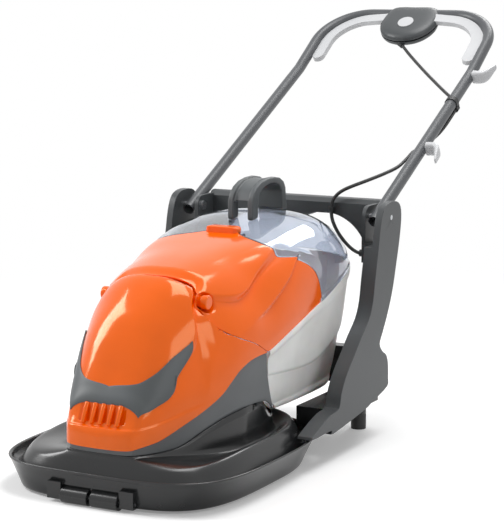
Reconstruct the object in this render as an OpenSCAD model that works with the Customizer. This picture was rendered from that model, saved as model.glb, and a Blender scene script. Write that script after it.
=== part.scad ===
// Hover mower with a grass collector: a hood on front rollers, a motor cover with a nose,
// a tilting grass bin with a clear lid, a yoke and a folding U handle.
// Lengths are millimetres. +Z is up, the front points to -Y, +X is the operator's left.
// A distance back is measured from the axle of the front rollers.

/* [Frame] */
// Distance from the roller axle back to the frame's origin
origin_back = 690; // [683:1:697]

/* [Hood] */
// Overall width over the rim
hood_w = 470; // [462:1:480]
// Distance from the roller axle back to the widest line of the hood
hood_mid = 280; // [276:1:286]
// Reach of the rim in front of the widest line
hood_front = 286; // [283:1:290]
// Reach of the rim behind the widest line
hood_rear = 250; // [244:1:256]
// Height of the ridge round the fan chamber
ridge_z = 80; // [77:1:82]
// Width of the shelf from the rim to the body at the sides
shelf_w = 80; // [76:1:84]
// Width of the shelf from the rim to the body at the front
shelf_front = 30; // [27:1:31]
// Width of the shelf from the rim to its inner edge at the rear
shelf_rear = 60; // [56:1:66]
// Wall of the hood's collar
collar_wall = 5; // [4:0.5:6]

/* [Front rollers] */
// Diameter of a roller
roller_d = 28; // [26:1:29]
// Length of one roller
roller_l = 53; // [48:1:54]
// Diameter of the roller axle
axle_d = 6; // [5:0.5:8]
// Running clearance of a roller on its axle, on the radius
roller_fit = 0.05; // [0.03:0.01:0.1]

/* [Body] */
// Distance from the roller axle back to the front of the motor cover
body_front = 20; // [19:1:22]
// Length of the body from the motor cover to the back of the lid
body_l = 712; // [706:1:714]
// Widest width of the body
body_w = 340; // [334:1:344]
// Height of the top of the lid above the ground
body_h = 435; // [431:1:438]
// Wall of the covers
cover_wall = 3; // [2.5:0.5:3.5]
// Gap of the parting line between the motor cover and the lid
lid_gap = 1.5; // [1:0.5:2.5]
// Thickness of the bumper trim
bumper_t = 2.5; // [2:0.5:4]

/* [Grass bin] */
// Distance from the lid's front edge back to the bin's front edge at the top
bin_step = 2; // [1.5:0.5:5]
// Distance from the roller axle back to the front of the bin's floor
floor_front = 385; // [380:1:395]
// Distance from the back of the lid forward to the rear of the bin's floor
floor_inset = 80; // [76:1:92]
// Height of the grass duct from the base plate to the bin's floor
duct_h = 19; // [17:1:25]
// Wall of the bin
bin_wall = 3; // [2.5:0.5:3.5]
// Width of the grass inlet
inlet_w = 120; // [90:5:140]
// Length of the grass inlet
inlet_l = 56; // [40:2:60]

/* [Collector pivot] */
// Distance from the roller axle back to the pivot pins
pin_back = 215; // [213:1:217]
// Diameter of a pivot pin
pin_d = 24; // [20:1:26]
// Running clearance of the lid on its pins, on the radius
pin_fit = 0.6; // [0.4:0.1:1]

/* [Latch and carry handle] */
// Width of the latch button
latch_w = 68; // [56:2:72]
// Length of the latch button
latch_l = 26; // [22:1:28]
// Travel of the latch button
latch_travel = 4; // [3:0.5:5]
// Width of the carry handle over its flanges
grip_w = 54; // [46:2:58]
// Height of the carry handle's arch above the lid
grip_h = 70; // [64:1:76]
// Length of the carry handle from front leg to rear leg
grip_l = 146; // [136:2:150]

/* [Yoke] */
// Distance from the back of the lid forward to the handle's pivot
pivot_inset = 27; // [22:1:32]
// Height of the handle's pivot
pivot_z = 424; // [418:1:428]
// Thickness of the ear outside the handle's leg
ear_t = 14; // [12:1:16]
// Gap between the handle's leg and the cheeks of its slot
slot_gap = 4; // [3:0.5:5]
// Width of the pillar inside the handle's leg
pillar_w = 25; // [22:1:28]
// Thickness of the lug that holds the pivot bolt inside the leg
lug_t = 8; // [7:0.5:10]
// Radius of that lug round the pivot
lug_r = 20; // [18:1:22]
// Height of the crossbar's section
bar_h = 40; // [36:1:42]
// Depth of the crossbar's section
bar_t = 38; // [32:1:42]
// Radius of the gusset between crossbar and pillar
gusset_r = 95; // [85:1:100]
// Diameter of a pivot bolt
bolt_d = 10; // [8:1:12]
// Running clearance on a pivot bolt, on the radius
bolt_fit = 0.06; // [0.04:0.01:0.1]

/* [Upper handle] */
// Diameter of the handle tube
tube_d = 24; // [22:1:25]
// Wall of the handle tube
tube_wall = 1.8; // [1.2:0.2:2.4]
// Distance from the hood's side in to the centre line of a leg
leg_inset = 29; // [28:1:30]
// Straight length of a leg above the pivot
leg_l = 545; // [520:5:560]
// Length of the leg below the pivot
leg_tail = 18; // [16:1:20]
// Rise of the legs, in degrees
handle_angle = 27.6; // [26:0.2:29]
// Extra rise of the grip, in degrees
kink_angle = 6.7; // [5:0.1:8]
// Radius of the bend where the grip rises
kink_r = 60; // [50:2:80]
// Straight length between that bend and the corner bend
grip_straight = 98; // [90:1:110]
// Radius of the corner bends
bend_r = 107; // [104:1:112]

/* [Switch box] */
// Half width of the switch box
box_half = 65; // [63:1:68]
// Length of the switch box along the handle
box_l = 115; // [112:1:120]
// Height of the upper shell above the tube's centre
box_up = 16; // [15:0.5:18]
// Depth of the lower shell below the tube's centre
box_down = 16; // [15.5:0.5:18]
// Diameter of the lock-off button
button_d = 36; // [30:1:38]
// Radial width of an operating lever
lever_w = 26; // [22:1:28]
// Thickness of an operating lever
lever_t = 11; // [9:0.5:11]
// Droop of a released lever, in degrees
lever_drop = 5; // [4:0.5:6]

/* [Drive] */
// Distance from the roller axle back to the cutter spindle
spindle_back = 280; // [278:1:284]
// Distance from the roller axle back to the motor shaft
motor_back = 130; // [128:1:134]
// Diameter of the spindle
spindle_d = 12; // [10:1:14]
// Height of the base plate's top
plate_z = 87; // [86:1:88]
// Thickness of the base plate
plate_t = 4; // [3:0.5:5]
// Tip diameter of the cutting blade
blade_d = 330; // [300:5:340]
// Diameter of the lift fan
fan_d = 280; // [260:5:288]
// Radius of the driven pulley
driven_r = 50; // [46:1:54]
// Radius of the motor pulley
driver_r = 14; // [12:0.5:16]
// Outer diameter of the motor can
motor_d = 92; // [86:1:94]
// Diameter of the motor shaft
shaft_d = 10; // [8:1:12]

/* [Lead] */
// Diameter of the lead between switch box and yoke
lead_d = 7; // [6:0.5:7]

/* [Hidden] */
$fn = 48;

orange = "#f0641e";
dark = "#4f5153";
black = "#2a2b2c";
mid = "#66696b";
pale = "#d6d6d4";
metal = "#b9bcc0";
smoke = "#b8c4d6";

// overrun of a cut past the face that it opens
overrun = 2;
// gap between pieces that sit on each other without a fit
seat = 0.3;
// fit of a shaft in a seat that doesn't turn
press = 0.02;

// values that follow from the sizes above
plate_under = plate_z - plate_t;
cover_h = body_h - plate_z;
body_end = body_front + body_l;
floor_rear = body_end - floor_inset;
floor_z = plate_z + duct_h;
pivot_back = body_end - pivot_inset;
handle_half = hood_w / 2 - leg_inset;
arm_in = handle_half;
ear_in = handle_half + tube_d / 2 + slot_gap;
arm_out = ear_in + ear_t;
pillar_out = handle_half - tube_d / 2 - slot_gap;
pillar_in = pillar_out - pillar_w;
lug_in = pillar_out - lug_t;
pin_z_share = 0.681;
pin_z = plate_z + cover_h * pin_z_share;
latch_share = 0.604;
latch_back = body_front + body_l * latch_share;

// named small sizes
carrier_w = 172;
carrier_front = 7;
carrier_back = 24;
carrier_low = 6;
carrier_top = 36;
carrier_cheek = 28;
carrier_mid = 3;
carrier_roof = 5;
notch_r = 12;
notch_gap = 10;
bumper_gap = 1.5;
vent_w = 7;
vent_pitch = 17;
vent_front = 28;
vent_back = 41.5;
vent_rise = 25;
vent_h = 54;
vent_rows = 5;
lip_drop = 17;
lip_l = 7;
lid_curl = 7;
lid_curl_l = 24;
nose_l = 15;
pin_in = 72;
pin_out = 102;
housing_r = 45;
housing_flange = 4;
housing_barrel_r = 20;
housing_l = 26;
bearing_r = 14;
bearing_t = 8;
fan_top = 58;
fan_hub_r = 26;
fan_hub_l = 26;
fan_disc_t = 3;
fan_blade_h = 16;
fan_blade_t = 3;
fan_blades = 9;
blade_z = 22;
blade_t = 3;
blade_chord = 52;
spacer_r = 26;
bolt_head_r = 11;
bolt_head_t = 7;
cutter_bolt_l = 16;
pulley_t = 12;
pulley_rim = 3;
pulley_gap = 5;
belt_t = 3;
belt_steps = 20;
belt_wrap = 16;
bracket_t = 5;
bracket_r = 50;
post_r = 6;
post_out = 40;
post_step = 18;
post_front = 43;
can_wall = 4;
can_l = 98;
stator_in = 30;
stator_l = 60;
rotor_gap = 1;
commutator_r = 14;
commutator_l = 14;
brush_w = 10;
brush_h = 10;
screw_r = 2.5;
screw_head_r = 4.5;
screw_head_t = 3;
screw_ring_r = 34;
duct_wall = 3;
latch_rise = 12;
latch_deep = 18;
seat_wall = 3;
spring_r = 6;
spring_wall = 1.5;
flange_t = 11;
foot_r = 15;
foot_h = 30;
foot_inset = 36;
frame_beam_inset = 15;
frame_beam_t = 28;
frame_beam_low = 92;
frame_beam_top = 165;
frame_rail_w = 56;
frame_rail_l = 235;
frame_rail_top = 90;
slot_drop = 52;
pillar_drop = 89;
bar_rise = 26;
head_r = 9;
head_t = 4;
shell_wall = 3;
body_seat = 1;
bore_gap = 0.1;
button_rise = 3;
button_flange = 3;
button_flange_t = 2;
button_v = -52;
switch_w = 26;
switch_l = 28;
switch_top = 4;
lever_axis_u = 58;
lever_axis_w = 6.5;
lever_hub_r = 6;
lever_pin_d = 4;
lever_gap = 12.6;
lever_tail = 50;
lever_clear = 2;
pin_block = 10;
lead_u = -12;
lead_v = -92;
lead_turn = 50;
hook_l = 22;
hook_seat_share = 0.75;
hook_reach = 42;
hook_h = 28;
hook_finger = 9;
hook_finger_l = 50;
hook_upper_s = 528;
hook_lower_s = 245;
tie_s = 418;
tie_turn = 60;
tie_l = 12;
tie_wall = 2;
clip_rise = 4;
clip_h = 8;
clip_wall = 2;
clip_x = 90;
gland_r = 7;
gland_l = 12;
gland_drop = 80;
box_gland_l = 24;
box_gland_r = 5.5;
lead_back = 10;
lead_sides = 8;
// the bend where the grip rises laps into the straight tubes and is a hair thinner
kink_lap = 1;
kink_step = 0.05;

// the lead's route out of the switch box: steps along its way out
lead_exit_route = [-4, 12, 27];
// its route down the handle: across from the leg's centre line, along it from the pivot, and off it
lead_leg_route = [
  [-176, 626, -2], [-144, 594, -8], [-106, 556, -13], [-66, 516, -16], [-38, 488, -17], [-19, 470, -17],
  [-5, 455, -17], [4, 442.5, -15.6], [7.9, 430, -14], [8, 418, -14], [8, 390, -14], [7, 360, -15],
  [3, 330, -16.3], [-5, 300, -16.6], [-13, 273, -14], [-18, 255, -10.5], [-20, 240, -7]
];
// its route over the crossbar to the gland: across from that line, back from the clip, up from the pivot
lead_yoke_route = [
  [-20, 178, 104.7], [-20, 148, 94], [-21, 108, 82], [-29, 64, 73], [-48, 30, 62.5], [-76, 9, 50],
  [-92, 3, 42], [-104, 1, 33], [-112.5, 0, 22], [-116, 0, 9], [-116, 0, -5], [-113, 0, -20], [-104, 0, -38],
  [-91, 0, -55], [-75, 0, -70], [-59, 0, -79], [-46, 0, -80]
];

// shares of the body's length against shares of its half width, and of its height over the base plate
width_shares = [
  [0, 0.001], [0.0007, 0.165], [0.0014, 0.218], [0.0028, 0.276], [0.0056, 0.338], [0.0098, 0.376],
  [0.014, 0.391], [0.056, 0.5], [0.112, 0.6], [0.183, 0.718], [0.253, 0.818], [0.323, 0.894],
  [0.393, 0.941], [0.463, 0.971], [0.562, 0.994], [0.674, 1], [0.758, 1], [0.843, 0.988],
  [0.899, 0.959], [0.948, 0.882], [0.976, 0.753], [0.992, 0.612], [1, 0.47]
];
waist_shares = [
  [0, 0.0263], [0.014, 0.035], [0.039, 0.0462], [0.076, 0.0638], [0.139, 0.115], [0.204, 0.17],
  [0.257, 0.2275], [0.291, 0.285], [0.319, 0.33], [0.358, 0.365], [0.393, 0.3788], [0.437, 0.3875],
  [0.545, 0.4575], [0.66, 0.5262], [0.751, 0.5775], [0.843, 0.635], [0.927, 0.69], [1, 0.7363]
];
top_shares = [
  [0, 0.0775], [0.0014, 0.0975], [0.0056, 0.1175], [0.014, 0.1463], [0.024, 0.1812], [0.035, 0.2438],
  [0.056, 0.3138], [0.084, 0.4338], [0.112, 0.5425], [0.147, 0.6437], [0.197, 0.7438], [0.225, 0.7875],
  [0.246, 0.8075], [0.274, 0.8125], [0.303, 0.8275], [0.393, 0.865], [0.506, 0.9], [0.618, 0.9337],
  [0.702, 0.965], [0.815, 0.9938], [0.885, 0.9975], [0.941, 0.9688], [0.972, 0.9113], [0.99, 0.8275],
  [1, 0.7525]
];
foot_shares = [
  [0, 0.0025], [0.051, 0], [0.131, 0.0088], [0.204, 0.0663], [0.271, 0.1087], [0.358, 0.135],
  [0.428, 0.1288], [0.45, 0.1], [0.47, 0.0563], [0.5, 0.0275], [0.562, 0.02], [1, 0.02]
];
// squareness of the arch along the body: 2 is an ellipse
square_shares = [[0, 7], [0.014, 6], [0.035, 4], [0.056, 3.2], [0.084, 2.7], [0.126, 2.45], [0.253, 2.45],
  [0.393, 2.55], [0.46, 2.8], [0.55, 3.6], [0.64, 4.1], [0.75, 4], [0.83, 3.4], [0.89, 2.6], [0.94, 2.1],
  [1, 2.2]];
// the rear edge of the motor cover, the front edge of the lid and the edge of the window:
// shares of the right angle against shares of the body's length
cover_end_shares = [[0, 0.437], [0.062, 0.383], [0.149, 0.338], [0.286, 0.285], [0.36, 0.275], [0.45, 0.284],
  [0.67, 0.298], [1, 0.3]];
lip_start_shares = [[0, 0.27], [0.5, 0.27], [0.66, 0.263], [0.8, 0.252], [1, 0.243]];
// shares of a right angle where the lip under the lid and the lid's curled edge begin and are full
lip_rise = [0.4, 0.5];
curl_rise = [0.42, 0.55];
lid_start_shares = [[0, 0.437], [0.062, 0.383], [0.149, 0.338], [0.286, 0.296], [0.4, 0.296], [0.55, 0.288],
  [0.67, 0.284], [1, 0.284]];
window_start_shares = [[0, 0.715], [0.055, 0.72], [0.262, 0.6945], [0.406, 0.641], [0.511, 0.58], [0.611, 0.57],
  [0.711, 0.6], [0.8, 0.644], [0.9, 0.647], [1, 0.647]];
cover_row_shares = [0, 0.0016, 0.0032, 0.0065, 0.013, 0.022, 0.032, 0.045, 0.06, 0.08, 0.11, 0.15, 0.2, 0.26,
  0.33, 0.4, 0.48, 0.56, 0.64, 0.72, 0.8, 0.835, 0.87, 0.9, 0.93, 0.96, 1];
lid_row_shares = [0, 0.02, 0.05, 0.08, 0.12, 0.2, 0.32, 0.44, 0.56, 0.68, 0.8, 0.9, 1];
window_row_shares = [0, 0.12, 0.25, 0.38, 0.5, 0.62, 0.73, 0.82, 0.9, 0.955, 0.985, 1];
// the bumper trim from its middle to a horn: run along it, then length share and right-angle share of its edges
bumper_low_shares = [[0, 0.0316, 1], [0.25, 0.032, 0.7], [0.34, 0.03, 0.5], [0.38, 0.031, 0.46],
  [0.55, 0.066, 0.33], [0.72, 0.101, 0.253], [0.77, 0.121, 0.256], [0.81, 0.128, 0.3], [0.95, 0.184, 0.347],
  [1, 0.19, 0.39]];
bumper_high_shares = [[0, 0.054, 1], [0.3, 0.065, 0.65], [0.5, 0.0955, 0.49], [0.75, 0.143, 0.422],
  [0.92, 0.18, 0.4], [1, 0.19, 0.4]];
// the hood's section from its skirt over the rim to the collar: side and front inset, side and front height
hood_shares = [
  [0.3, 0.4, 0.07, 0.07], [0.22, 0.3, 0.25, 0.25], [0.04, 0.1, 0.62, 0.62], [0, 0, 0.7, 0.7],
  [0.025, 0.06, 0.72, 0.72], [0.06, 0.13, 0.7, 0.7], [0.11, 0.2, 0.58, 0.62], [0.22, 0.36, 0.43, 0.57],
  [0.33, 0.48, 0.6, 0.68], [0.44, 0.6, 0.86, 0.78], [0.57, 0.72, 1, 0.88]
];
// its underside from the ridge back to the skirt
under_shares = [
  [0.57, 0.72, 0.94, 0.82], [0.48, 0.64, 0.86, 0.74], [0.37, 0.52, 0.62, 0.63], [0.3, 0.44, 0.4, 0.5],
  [0.29, 0.42, 0.25, 0.27], [0.34, 0.5, 0.07, 0.07]
];
// the shelf inside the ridge: share of the way to the collar, side height and front height as ridge shares
shelf_shares = [[0.4, 0.9, 0.97], [0.75, 0.79, 1.03], [0.93, 0.84, 1.06]];
shelf_under_shares = [[0.75, 0.73, 0.95], [0.4, 0.84, 0.9]];
// least height of the arch's inside at the nose, as a share of its outside
thin_share = 0.4;
rim_square = 4;
rear_square = 2.6;
hood_steps = 72;
outline_steps = 3;
arch_step = 7.5;
bumper_steps = 20;
// the bin's rings: depth share and width share
bin_shares = [[1, 0.84], [0.985, 0.89], [0.92, 0.92], [0.75, 0.94], [0.4, 0.955], [0.12, 0.97], [0.06, 0.995],
  [0, 0.995]];
bin_run_shares = [0, 0.08, 0.2, 0.35, 0.5, 0.65, 0.76, 0.84, 0.9, 0.945, 0.975, 0.992, 1];
bin_front_power = 2.6;
bin_rear_power = 1.4;
// the yoke arm's outline: shares of the pivot's distance and height
arm_shares = [
  [0.513, 0.142], [0.628, 0.142], [0.64, 0.123], [0.83, 0.16], [0.888, 0.181], [0.984, 0.219],
  [0.99, 0.26], [0.988, 0.33], [0.975, 0.372], [0.95, 0.396], [0.931, 0.436], [0.953, 0.49],
  [0.979, 0.554], [1.001, 0.618], [1.02, 0.69], [1.037, 0.778], [1.057, 0.885], [1.068, 0.98],
  [1.062, 1.04], [1.035, 1.068], [0.985, 1.07], [0.95, 1.045], [0.93, 0.98], [0.915, 0.868],
  [0.896, 0.738], [0.882, 0.637], [0.857, 0.566], [0.81, 0.5], [0.763, 0.427], [0.716, 0.354],
  [0.687, 0.283], [0.674, 0.224], [0.624, 0.212], [0.56, 0.18]
];
// the crossbar's section: shares of its depth and height
bar_shares = [[0.12, 0], [0.88, 0], [1, 0.15], [1, 0.75], [0.8, 0.96], [0.6, 1], [0.4, 1], [0.2, 0.96],
  [0, 0.75], [0, 0.15]];
// half of the switch box's outline: shares of its half width and length, from the top
box_shares = [[0, 0], [0.57, 0], [0.78, 0.06], [0.9, 0.18], [1, 0.39], [0.985, 0.58], [0.82, 0.78],
  [0.54, 0.925], [0.22, 0.992], [0, 1]];
box_over_share = 0.113;
box_inner_share = 0.93;
// the carry handle's arch: shares of its length and height
grip_outer_shares = [[0, 0], [0, 0.52], [0.05, 0.72], [0.14, 0.87], [0.28, 0.97], [0.46, 1], [0.64, 0.98],
  [0.8, 0.9], [0.91, 0.76], [0.96, 0.58], [1, 0]];
grip_inner_shares = [[0.85, 0], [0.84, 0.52], [0.78, 0.68], [0.68, 0.78], [0.54, 0.83], [0.42, 0.82],
  [0.3, 0.77], [0.22, 0.66], [0.17, 0.48], [0.17, 0]];

function mix(a, b, t) = a + (b - a) * t;
function ease(a, b, x) = let (t = max(0, min(1, (x - a) / (b - a)))) t * t * (3 - 2 * t);
function part_of(tab, x, i = 0) = i >= len(tab) - 2 || x <= tab[i + 1][0] ? i : part_of(tab, x, i + 1);
function slope_at(tab, i, k) =
  let (a = max(0, i - 1), b = min(len(tab) - 1, i + 1)) (tab[b][k] - tab[a][k]) / (tab[b][0] - tab[a][0]);
// smooth curve through a table, read at x in column k
function smooth(tab, x, k = 1) =
  let (i = part_of(tab, x), h = tab[i + 1][0] - tab[i][0], t = max(0, min(1, (x - tab[i][0]) / h)))
  (2 * t ^ 3 - 3 * t ^ 2 + 1) * tab[i][k] + (t ^ 3 - 2 * t ^ 2 + t) * h * slope_at(tab, i, k)
    + (3 * t ^ 2 - 2 * t ^ 3) * tab[i + 1][k] + (t ^ 3 - t ^ 2) * h * slope_at(tab, i + 1, k);

// sizes of the body at a distance back
function along(y) = (y - body_front) / body_l;
function half_at(y) = body_w / 2 * smooth(width_shares, along(y));
function waist_at(y) = plate_z + cover_h * smooth(waist_shares, along(y));
function top_at(y) = plate_z + cover_h * smooth(top_shares, along(y));
function foot_at(y) = plate_z + cover_h * smooth(foot_shares, along(y));
function square_at(y) = smooth(square_shares, along(y));
function radial(a, n) = (abs(cos(a)) ^ n + abs(sin(a)) ^ n) ^ (-1 / n);
function back_of(share) = body_front + body_l * share;
// share of the right angle between the waist and the crown
function rise_of(a) = min(a, 180 - a) / 90;

// point of the body's skin at angle a over the waist, moved out by off
function skin(a, y, off = 0) =
  let (
    r = radial(a, square_at(y)),
    w = half_at(y),
    h = top_at(y) - waist_at(y),
    x = off < 0 ? max(w + off, w / 2) : w + off,
    z = off < 0 ? max(h + off, h * thin_share) : h + off,
    nose = 1 - ease(body_front, body_front + nose_l, y)
  )
  [x * r * cos(a), y - off * nose, waist_at(y) + z * r * sin(a)];

arch_angles = [for (a = [0:arch_step:180]) a];
function grid(n, i, j) = i * n + j;
// triangles of a sheet with two faces: m rows of n points each, outer face first
function sheet_faces(m, n) = let (k = m * n) [
  for (i = [0:m - 2]) for (j = [0:n - 2])
    let (a = grid(n, i, j), b = grid(n, i + 1, j), c = grid(n, i + 1, j + 1), d = grid(n, i, j + 1))
    each [[a, b, c], [a, c, d], [k + a, k + c, k + b], [k + a, k + d, k + c]],
  for (i = [0:m - 2])
    let (a = grid(n, i, 0), b = grid(n, i + 1, 0), c = grid(n, i + 1, n - 1), d = grid(n, i, n - 1))
    each [[b, a, k + a], [b, k + a, k + b], [d, c, k + c], [d, k + c, k + d]],
  for (j = [0:n - 2])
    let (a = grid(n, 0, j), d = grid(n, 0, j + 1), b = grid(n, m - 1, j), c = grid(n, m - 1, j + 1))
    each [[a, d, k + d], [a, k + d, k + a], [c, b, k + b], [c, k + b, k + c]]
];
// triangles of a chain of rings of n points, closed on itself or with flat ends
function ring_faces(m, n, closed) = [
  for (i = [0:closed ? m - 1 : m - 2]) for (j = [0:n - 1])
    let (a = i * n + j, b = i * n + (j + 1) % n, c = (i + 1) % m * n + (j + 1) % n, d = (i + 1) % m * n + j)
    each [[a, b, c], [a, c, d]],
  if (!closed) [for (j = [n - 1:-1:0]) j],
  if (!closed) [for (j = [0:n - 1]) (m - 1) * n + j]
];

// sheet of the body's skin between two edges, given as functions of the angle
module skin_sheet(angles, shares, start, stop, lift, wall) {
  outer = [for (a = angles) for (s = shares) let (y = mix(start(a), stop(a), s)) skin(a, y, lift(a, y))];
  inner = [for (a = angles) for (s = shares) let (y = mix(start(a), stop(a), s)) skin(a, y, lift(a, y) - wall)];
  polyhedron(concat(outer, inner), sheet_faces(len(angles), len(shares)));
}

module from_rollers() {
  translate([0, -origin_back, 0]) children();
}

// slab of a side outline (back, up) between two half widths
module side_slab(points, x0, x1) {
  translate([x0, 0, 0]) rotate([90, 0, 90]) linear_extrude(x1 - x0) polygon(points);
}

module box(x0, x1, y0, y1, z0, z1) {
  translate([x0, y0, z0]) cube([x1 - x0, y1 - y0, z1 - z0]);
}

module both_sides() {
  children();
  mirror([1, 0, 0]) children();
}

// ring along X
module ring_x(r_out, r_in, x0, x1) {
  translate([x0, 0, 0]) rotate([0, 90, 0]) difference() {
    cylinder(r = r_out, h = x1 - x0);
    translate([0, 0, -overrun]) cylinder(r = r_in, h = x1 - x0 + 2 * overrun);
  }
}

module rod_x(r, x0, x1) {
  translate([x0, 0, 0]) rotate([0, 90, 0]) cylinder(r = r, h = x1 - x0);
}

// ring along Z
module ring_z(r_out, r_in, z0, z1) {
  translate([0, 0, z0]) difference() {
    cylinder(r = r_out, h = z1 - z0);
    translate([0, 0, -overrun]) cylinder(r = r_in, h = z1 - z0 + 2 * overrun);
  }
}

// plan loop of the hood at a side, front and rear inset
function hood_xy(t, side, front, rear) =
  let (
    n = sin(t) < 0 ? rim_square : rear_square,
    r = radial(t, n),
    reach = sin(t) < 0 ? hood_front - front : hood_rear - rear
  )
  [(hood_w / 2 - side) * r * cos(t), hood_mid + reach * r * sin(t)];
function collar_xy(t, off) =
  let (p = hood_xy(t, shelf_w, shelf_front, shelf_rear))
  [sign(p[0]) * min(abs(p[0]), half_at(p[1]) + off), p[1]];
function front_part(t) = ease(0.25, 0.85, -sin(t));
function rim_ring(s) = [
  for (i = [0:hood_steps - 1])
    let (t = i * 360 / hood_steps, p = hood_xy(t, s[0] * shelf_w, s[1] * shelf_front, s[0] * shelf_rear))
    [p[0], p[1], ridge_z * mix(s[2], s[3], front_part(t))]
];
function shelf_ring(s) = [
  for (i = [0:hood_steps - 1])
    let (
      t = i * 360 / hood_steps,
      last = hood_shares[len(hood_shares) - 1],
      p = hood_xy(t, last[0] * shelf_w, last[1] * shelf_front, last[0] * shelf_rear),
      q = collar_xy(t, collar_wall / 4)
    )
    [mix(p[0], q[0], s[0]), mix(p[1], q[1], s[0]), ridge_z * mix(s[1], s[2], front_part(t))]
];
function collar_ring(off, low) = [
  for (i = [0:hood_steps - 1])
    let (t = i * 360 / hood_steps, q = collar_xy(t, off))
    [q[0], q[1] + (sin(t) < -0.7 ? collar_wall / 4 - off : 0), low < 0 ? foot_at(q[1]) : low]
];

module hood() {
  rings = concat(
    [for (s = hood_shares) rim_ring(s)],
    [for (s = shelf_shares) shelf_ring(s)],
    [collar_ring(collar_wall / 4, -1), collar_ring(-3 * collar_wall / 4, -1),
      collar_ring(-3 * collar_wall / 4, ridge_z * shelf_shares[1][1])],
    [for (s = shelf_under_shares) shelf_ring(s)],
    [for (s = under_shares) rim_ring(s)]
  );
  color(dark) from_rollers() difference() {
    polyhedron([for (r = rings) each r], ring_faces(len(rings), hood_steps, true));
    box(-carrier_w / 2 - seat, carrier_w / 2 + seat, -hood_front, carrier_back + seat,
      -overrun, carrier_top + seat);
    both_sides() translate([carrier_w / 2 + notch_gap, carrier_back, carrier_low])
      rotate([90, 0, 0]) cylinder(r = notch_r, h = hood_front);
  }
}

module roller_carrier() {
  color(dark) from_rollers() difference() {
    union() {
      both_sides() box(carrier_w / 2 - carrier_cheek, carrier_w / 2, -carrier_front, carrier_back,
        carrier_low, carrier_top);
      box(-carrier_mid / 2, carrier_mid / 2, 0, carrier_back, carrier_low, carrier_top);
      box(-carrier_w / 2, carrier_w / 2, 0, carrier_back, carrier_top - carrier_roof, carrier_top);
    }
    translate([0, 0, roller_d / 2]) rod_x(axle_d / 2 + press, -carrier_w, carrier_w);
  }
}

module roller_axle() {
  color(metal) from_rollers() translate([0, 0, roller_d / 2]) rod_x(axle_d / 2, -carrier_w / 2, carrier_w / 2);
}

module roller_at(x0) {
  color(dark) from_rollers() translate([0, 0, roller_d / 2])
    ring_x(roller_d / 2, axle_d / 2 + roller_fit, x0, x0 + roller_l);
}
module roller_left() {
  roller_at((carrier_w / 2 - carrier_cheek + carrier_mid / 2 - roller_l) / 2);
}
module roller_right() {
  roller_at(-(carrier_w / 2 - carrier_cheek + carrier_mid / 2 + roller_l) / 2);
}

bin_front = lid_start(0) + bin_step;

// mid grey wall between the hood's collar and the waist
module lower_body() {
  inset = collar_wall / 2;
  last = bin_front - 3 * lid_gap - collar_wall;
  path = [for (s = cover_row_shares) mix(body_front, last, s)];
  half = [for (y = path) [max(half_at(y) - inset, half_at(y) / 2), y + inset]];
  loop = concat([for (i = [len(half) - 1:-1:0]) [half[i][0], half[i][1], path[i]]],
    [for (i = [0:len(half) - 1]) [-half[i][0], half[i][1], path[i]]]);
  outer = [for (p = loop) for (k = [0, 1]) [p[0], p[1], k == 0 ? foot_at(p[2]) + body_seat : waist_at(p[2])]];
  inner = [for (p = loop) for (k = [0, 1])
    let (w = abs(p[0]), n = 1 - ease(body_front, body_front + nose_l, p[2]))
    [sign(p[0]) * max(w - cover_wall, w / 2), p[1] + cover_wall * n,
      k == 0 ? foot_at(p[2]) + body_seat : waist_at(p[2])]];
  color(mid) from_rollers() polyhedron(concat(outer, inner),
    [for (f = sheet_faces(len(loop), 2)) [f[0], f[2], f[1]]]);
}

module base_plate() {
  color(black) from_rollers() difference() {
    translate([0, 0, plate_under]) linear_extrude(plate_t) offset(delta = -2 * seat)
      polygon([for (p = collar_ring(-3 * collar_wall / 4, 0)) [p[0], p[1]]]);
    translate([0, spindle_back, 0]) cylinder(r = housing_barrel_r + seat, h = plate_z + overrun);
    box(-inlet_w / 2, inlet_w / 2, floor_front + 2 * collar_wall, floor_front + 2 * collar_wall + inlet_l,
      0, plate_z + overrun);
  }
}

module spindle_housing() {
  color(metal) from_rollers() translate([0, spindle_back, 0]) difference() {
    union() {
      translate([0, 0, plate_z]) cylinder(r = housing_r, h = housing_flange);
      translate([0, 0, plate_z + housing_flange - housing_l]) cylinder(r = housing_barrel_r, h = housing_l);
    }
    translate([0, 0, plate_z - housing_l]) cylinder(r = spindle_d / 2 + 2 * seat, h = 2 * housing_l);
    translate([0, 0, plate_z + housing_flange - bearing_t]) cylinder(r = bearing_r + press, h = housing_l);
    translate([0, 0, plate_z - housing_l]) cylinder(r = bearing_r + press, h = housing_flange + bearing_t);
    for (k = [0:3]) rotate([0, 0, 45 + 90 * k]) translate([screw_ring_r, 0, plate_z - overrun])
      cylinder(r = screw_r + press, h = housing_l);
  }
}

module spindle_bearings() {
  color(metal) from_rollers() translate([0, spindle_back, 0]) {
    ring_z(bearing_r, spindle_d / 2 + press, plate_z + housing_flange - bearing_t, plate_z + housing_flange);
    ring_z(bearing_r, spindle_d / 2 + press, plate_z + housing_flange - housing_l,
      plate_z + housing_flange - housing_l + bearing_t);
  }
}

spindle_top = plate_z + housing_flange + pulley_gap + pulley_t;
fan_base = fan_top - fan_hub_l;

module spindle() {
  color(metal) from_rollers() translate([0, spindle_back, 0]) difference() {
    translate([0, 0, fan_base]) cylinder(r = spindle_d / 2, h = spindle_top - fan_base);
    translate([0, 0, fan_base - overrun]) cylinder(r = spindle_d / 4 + press, h = cutter_bolt_l + overrun);
  }
}

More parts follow.
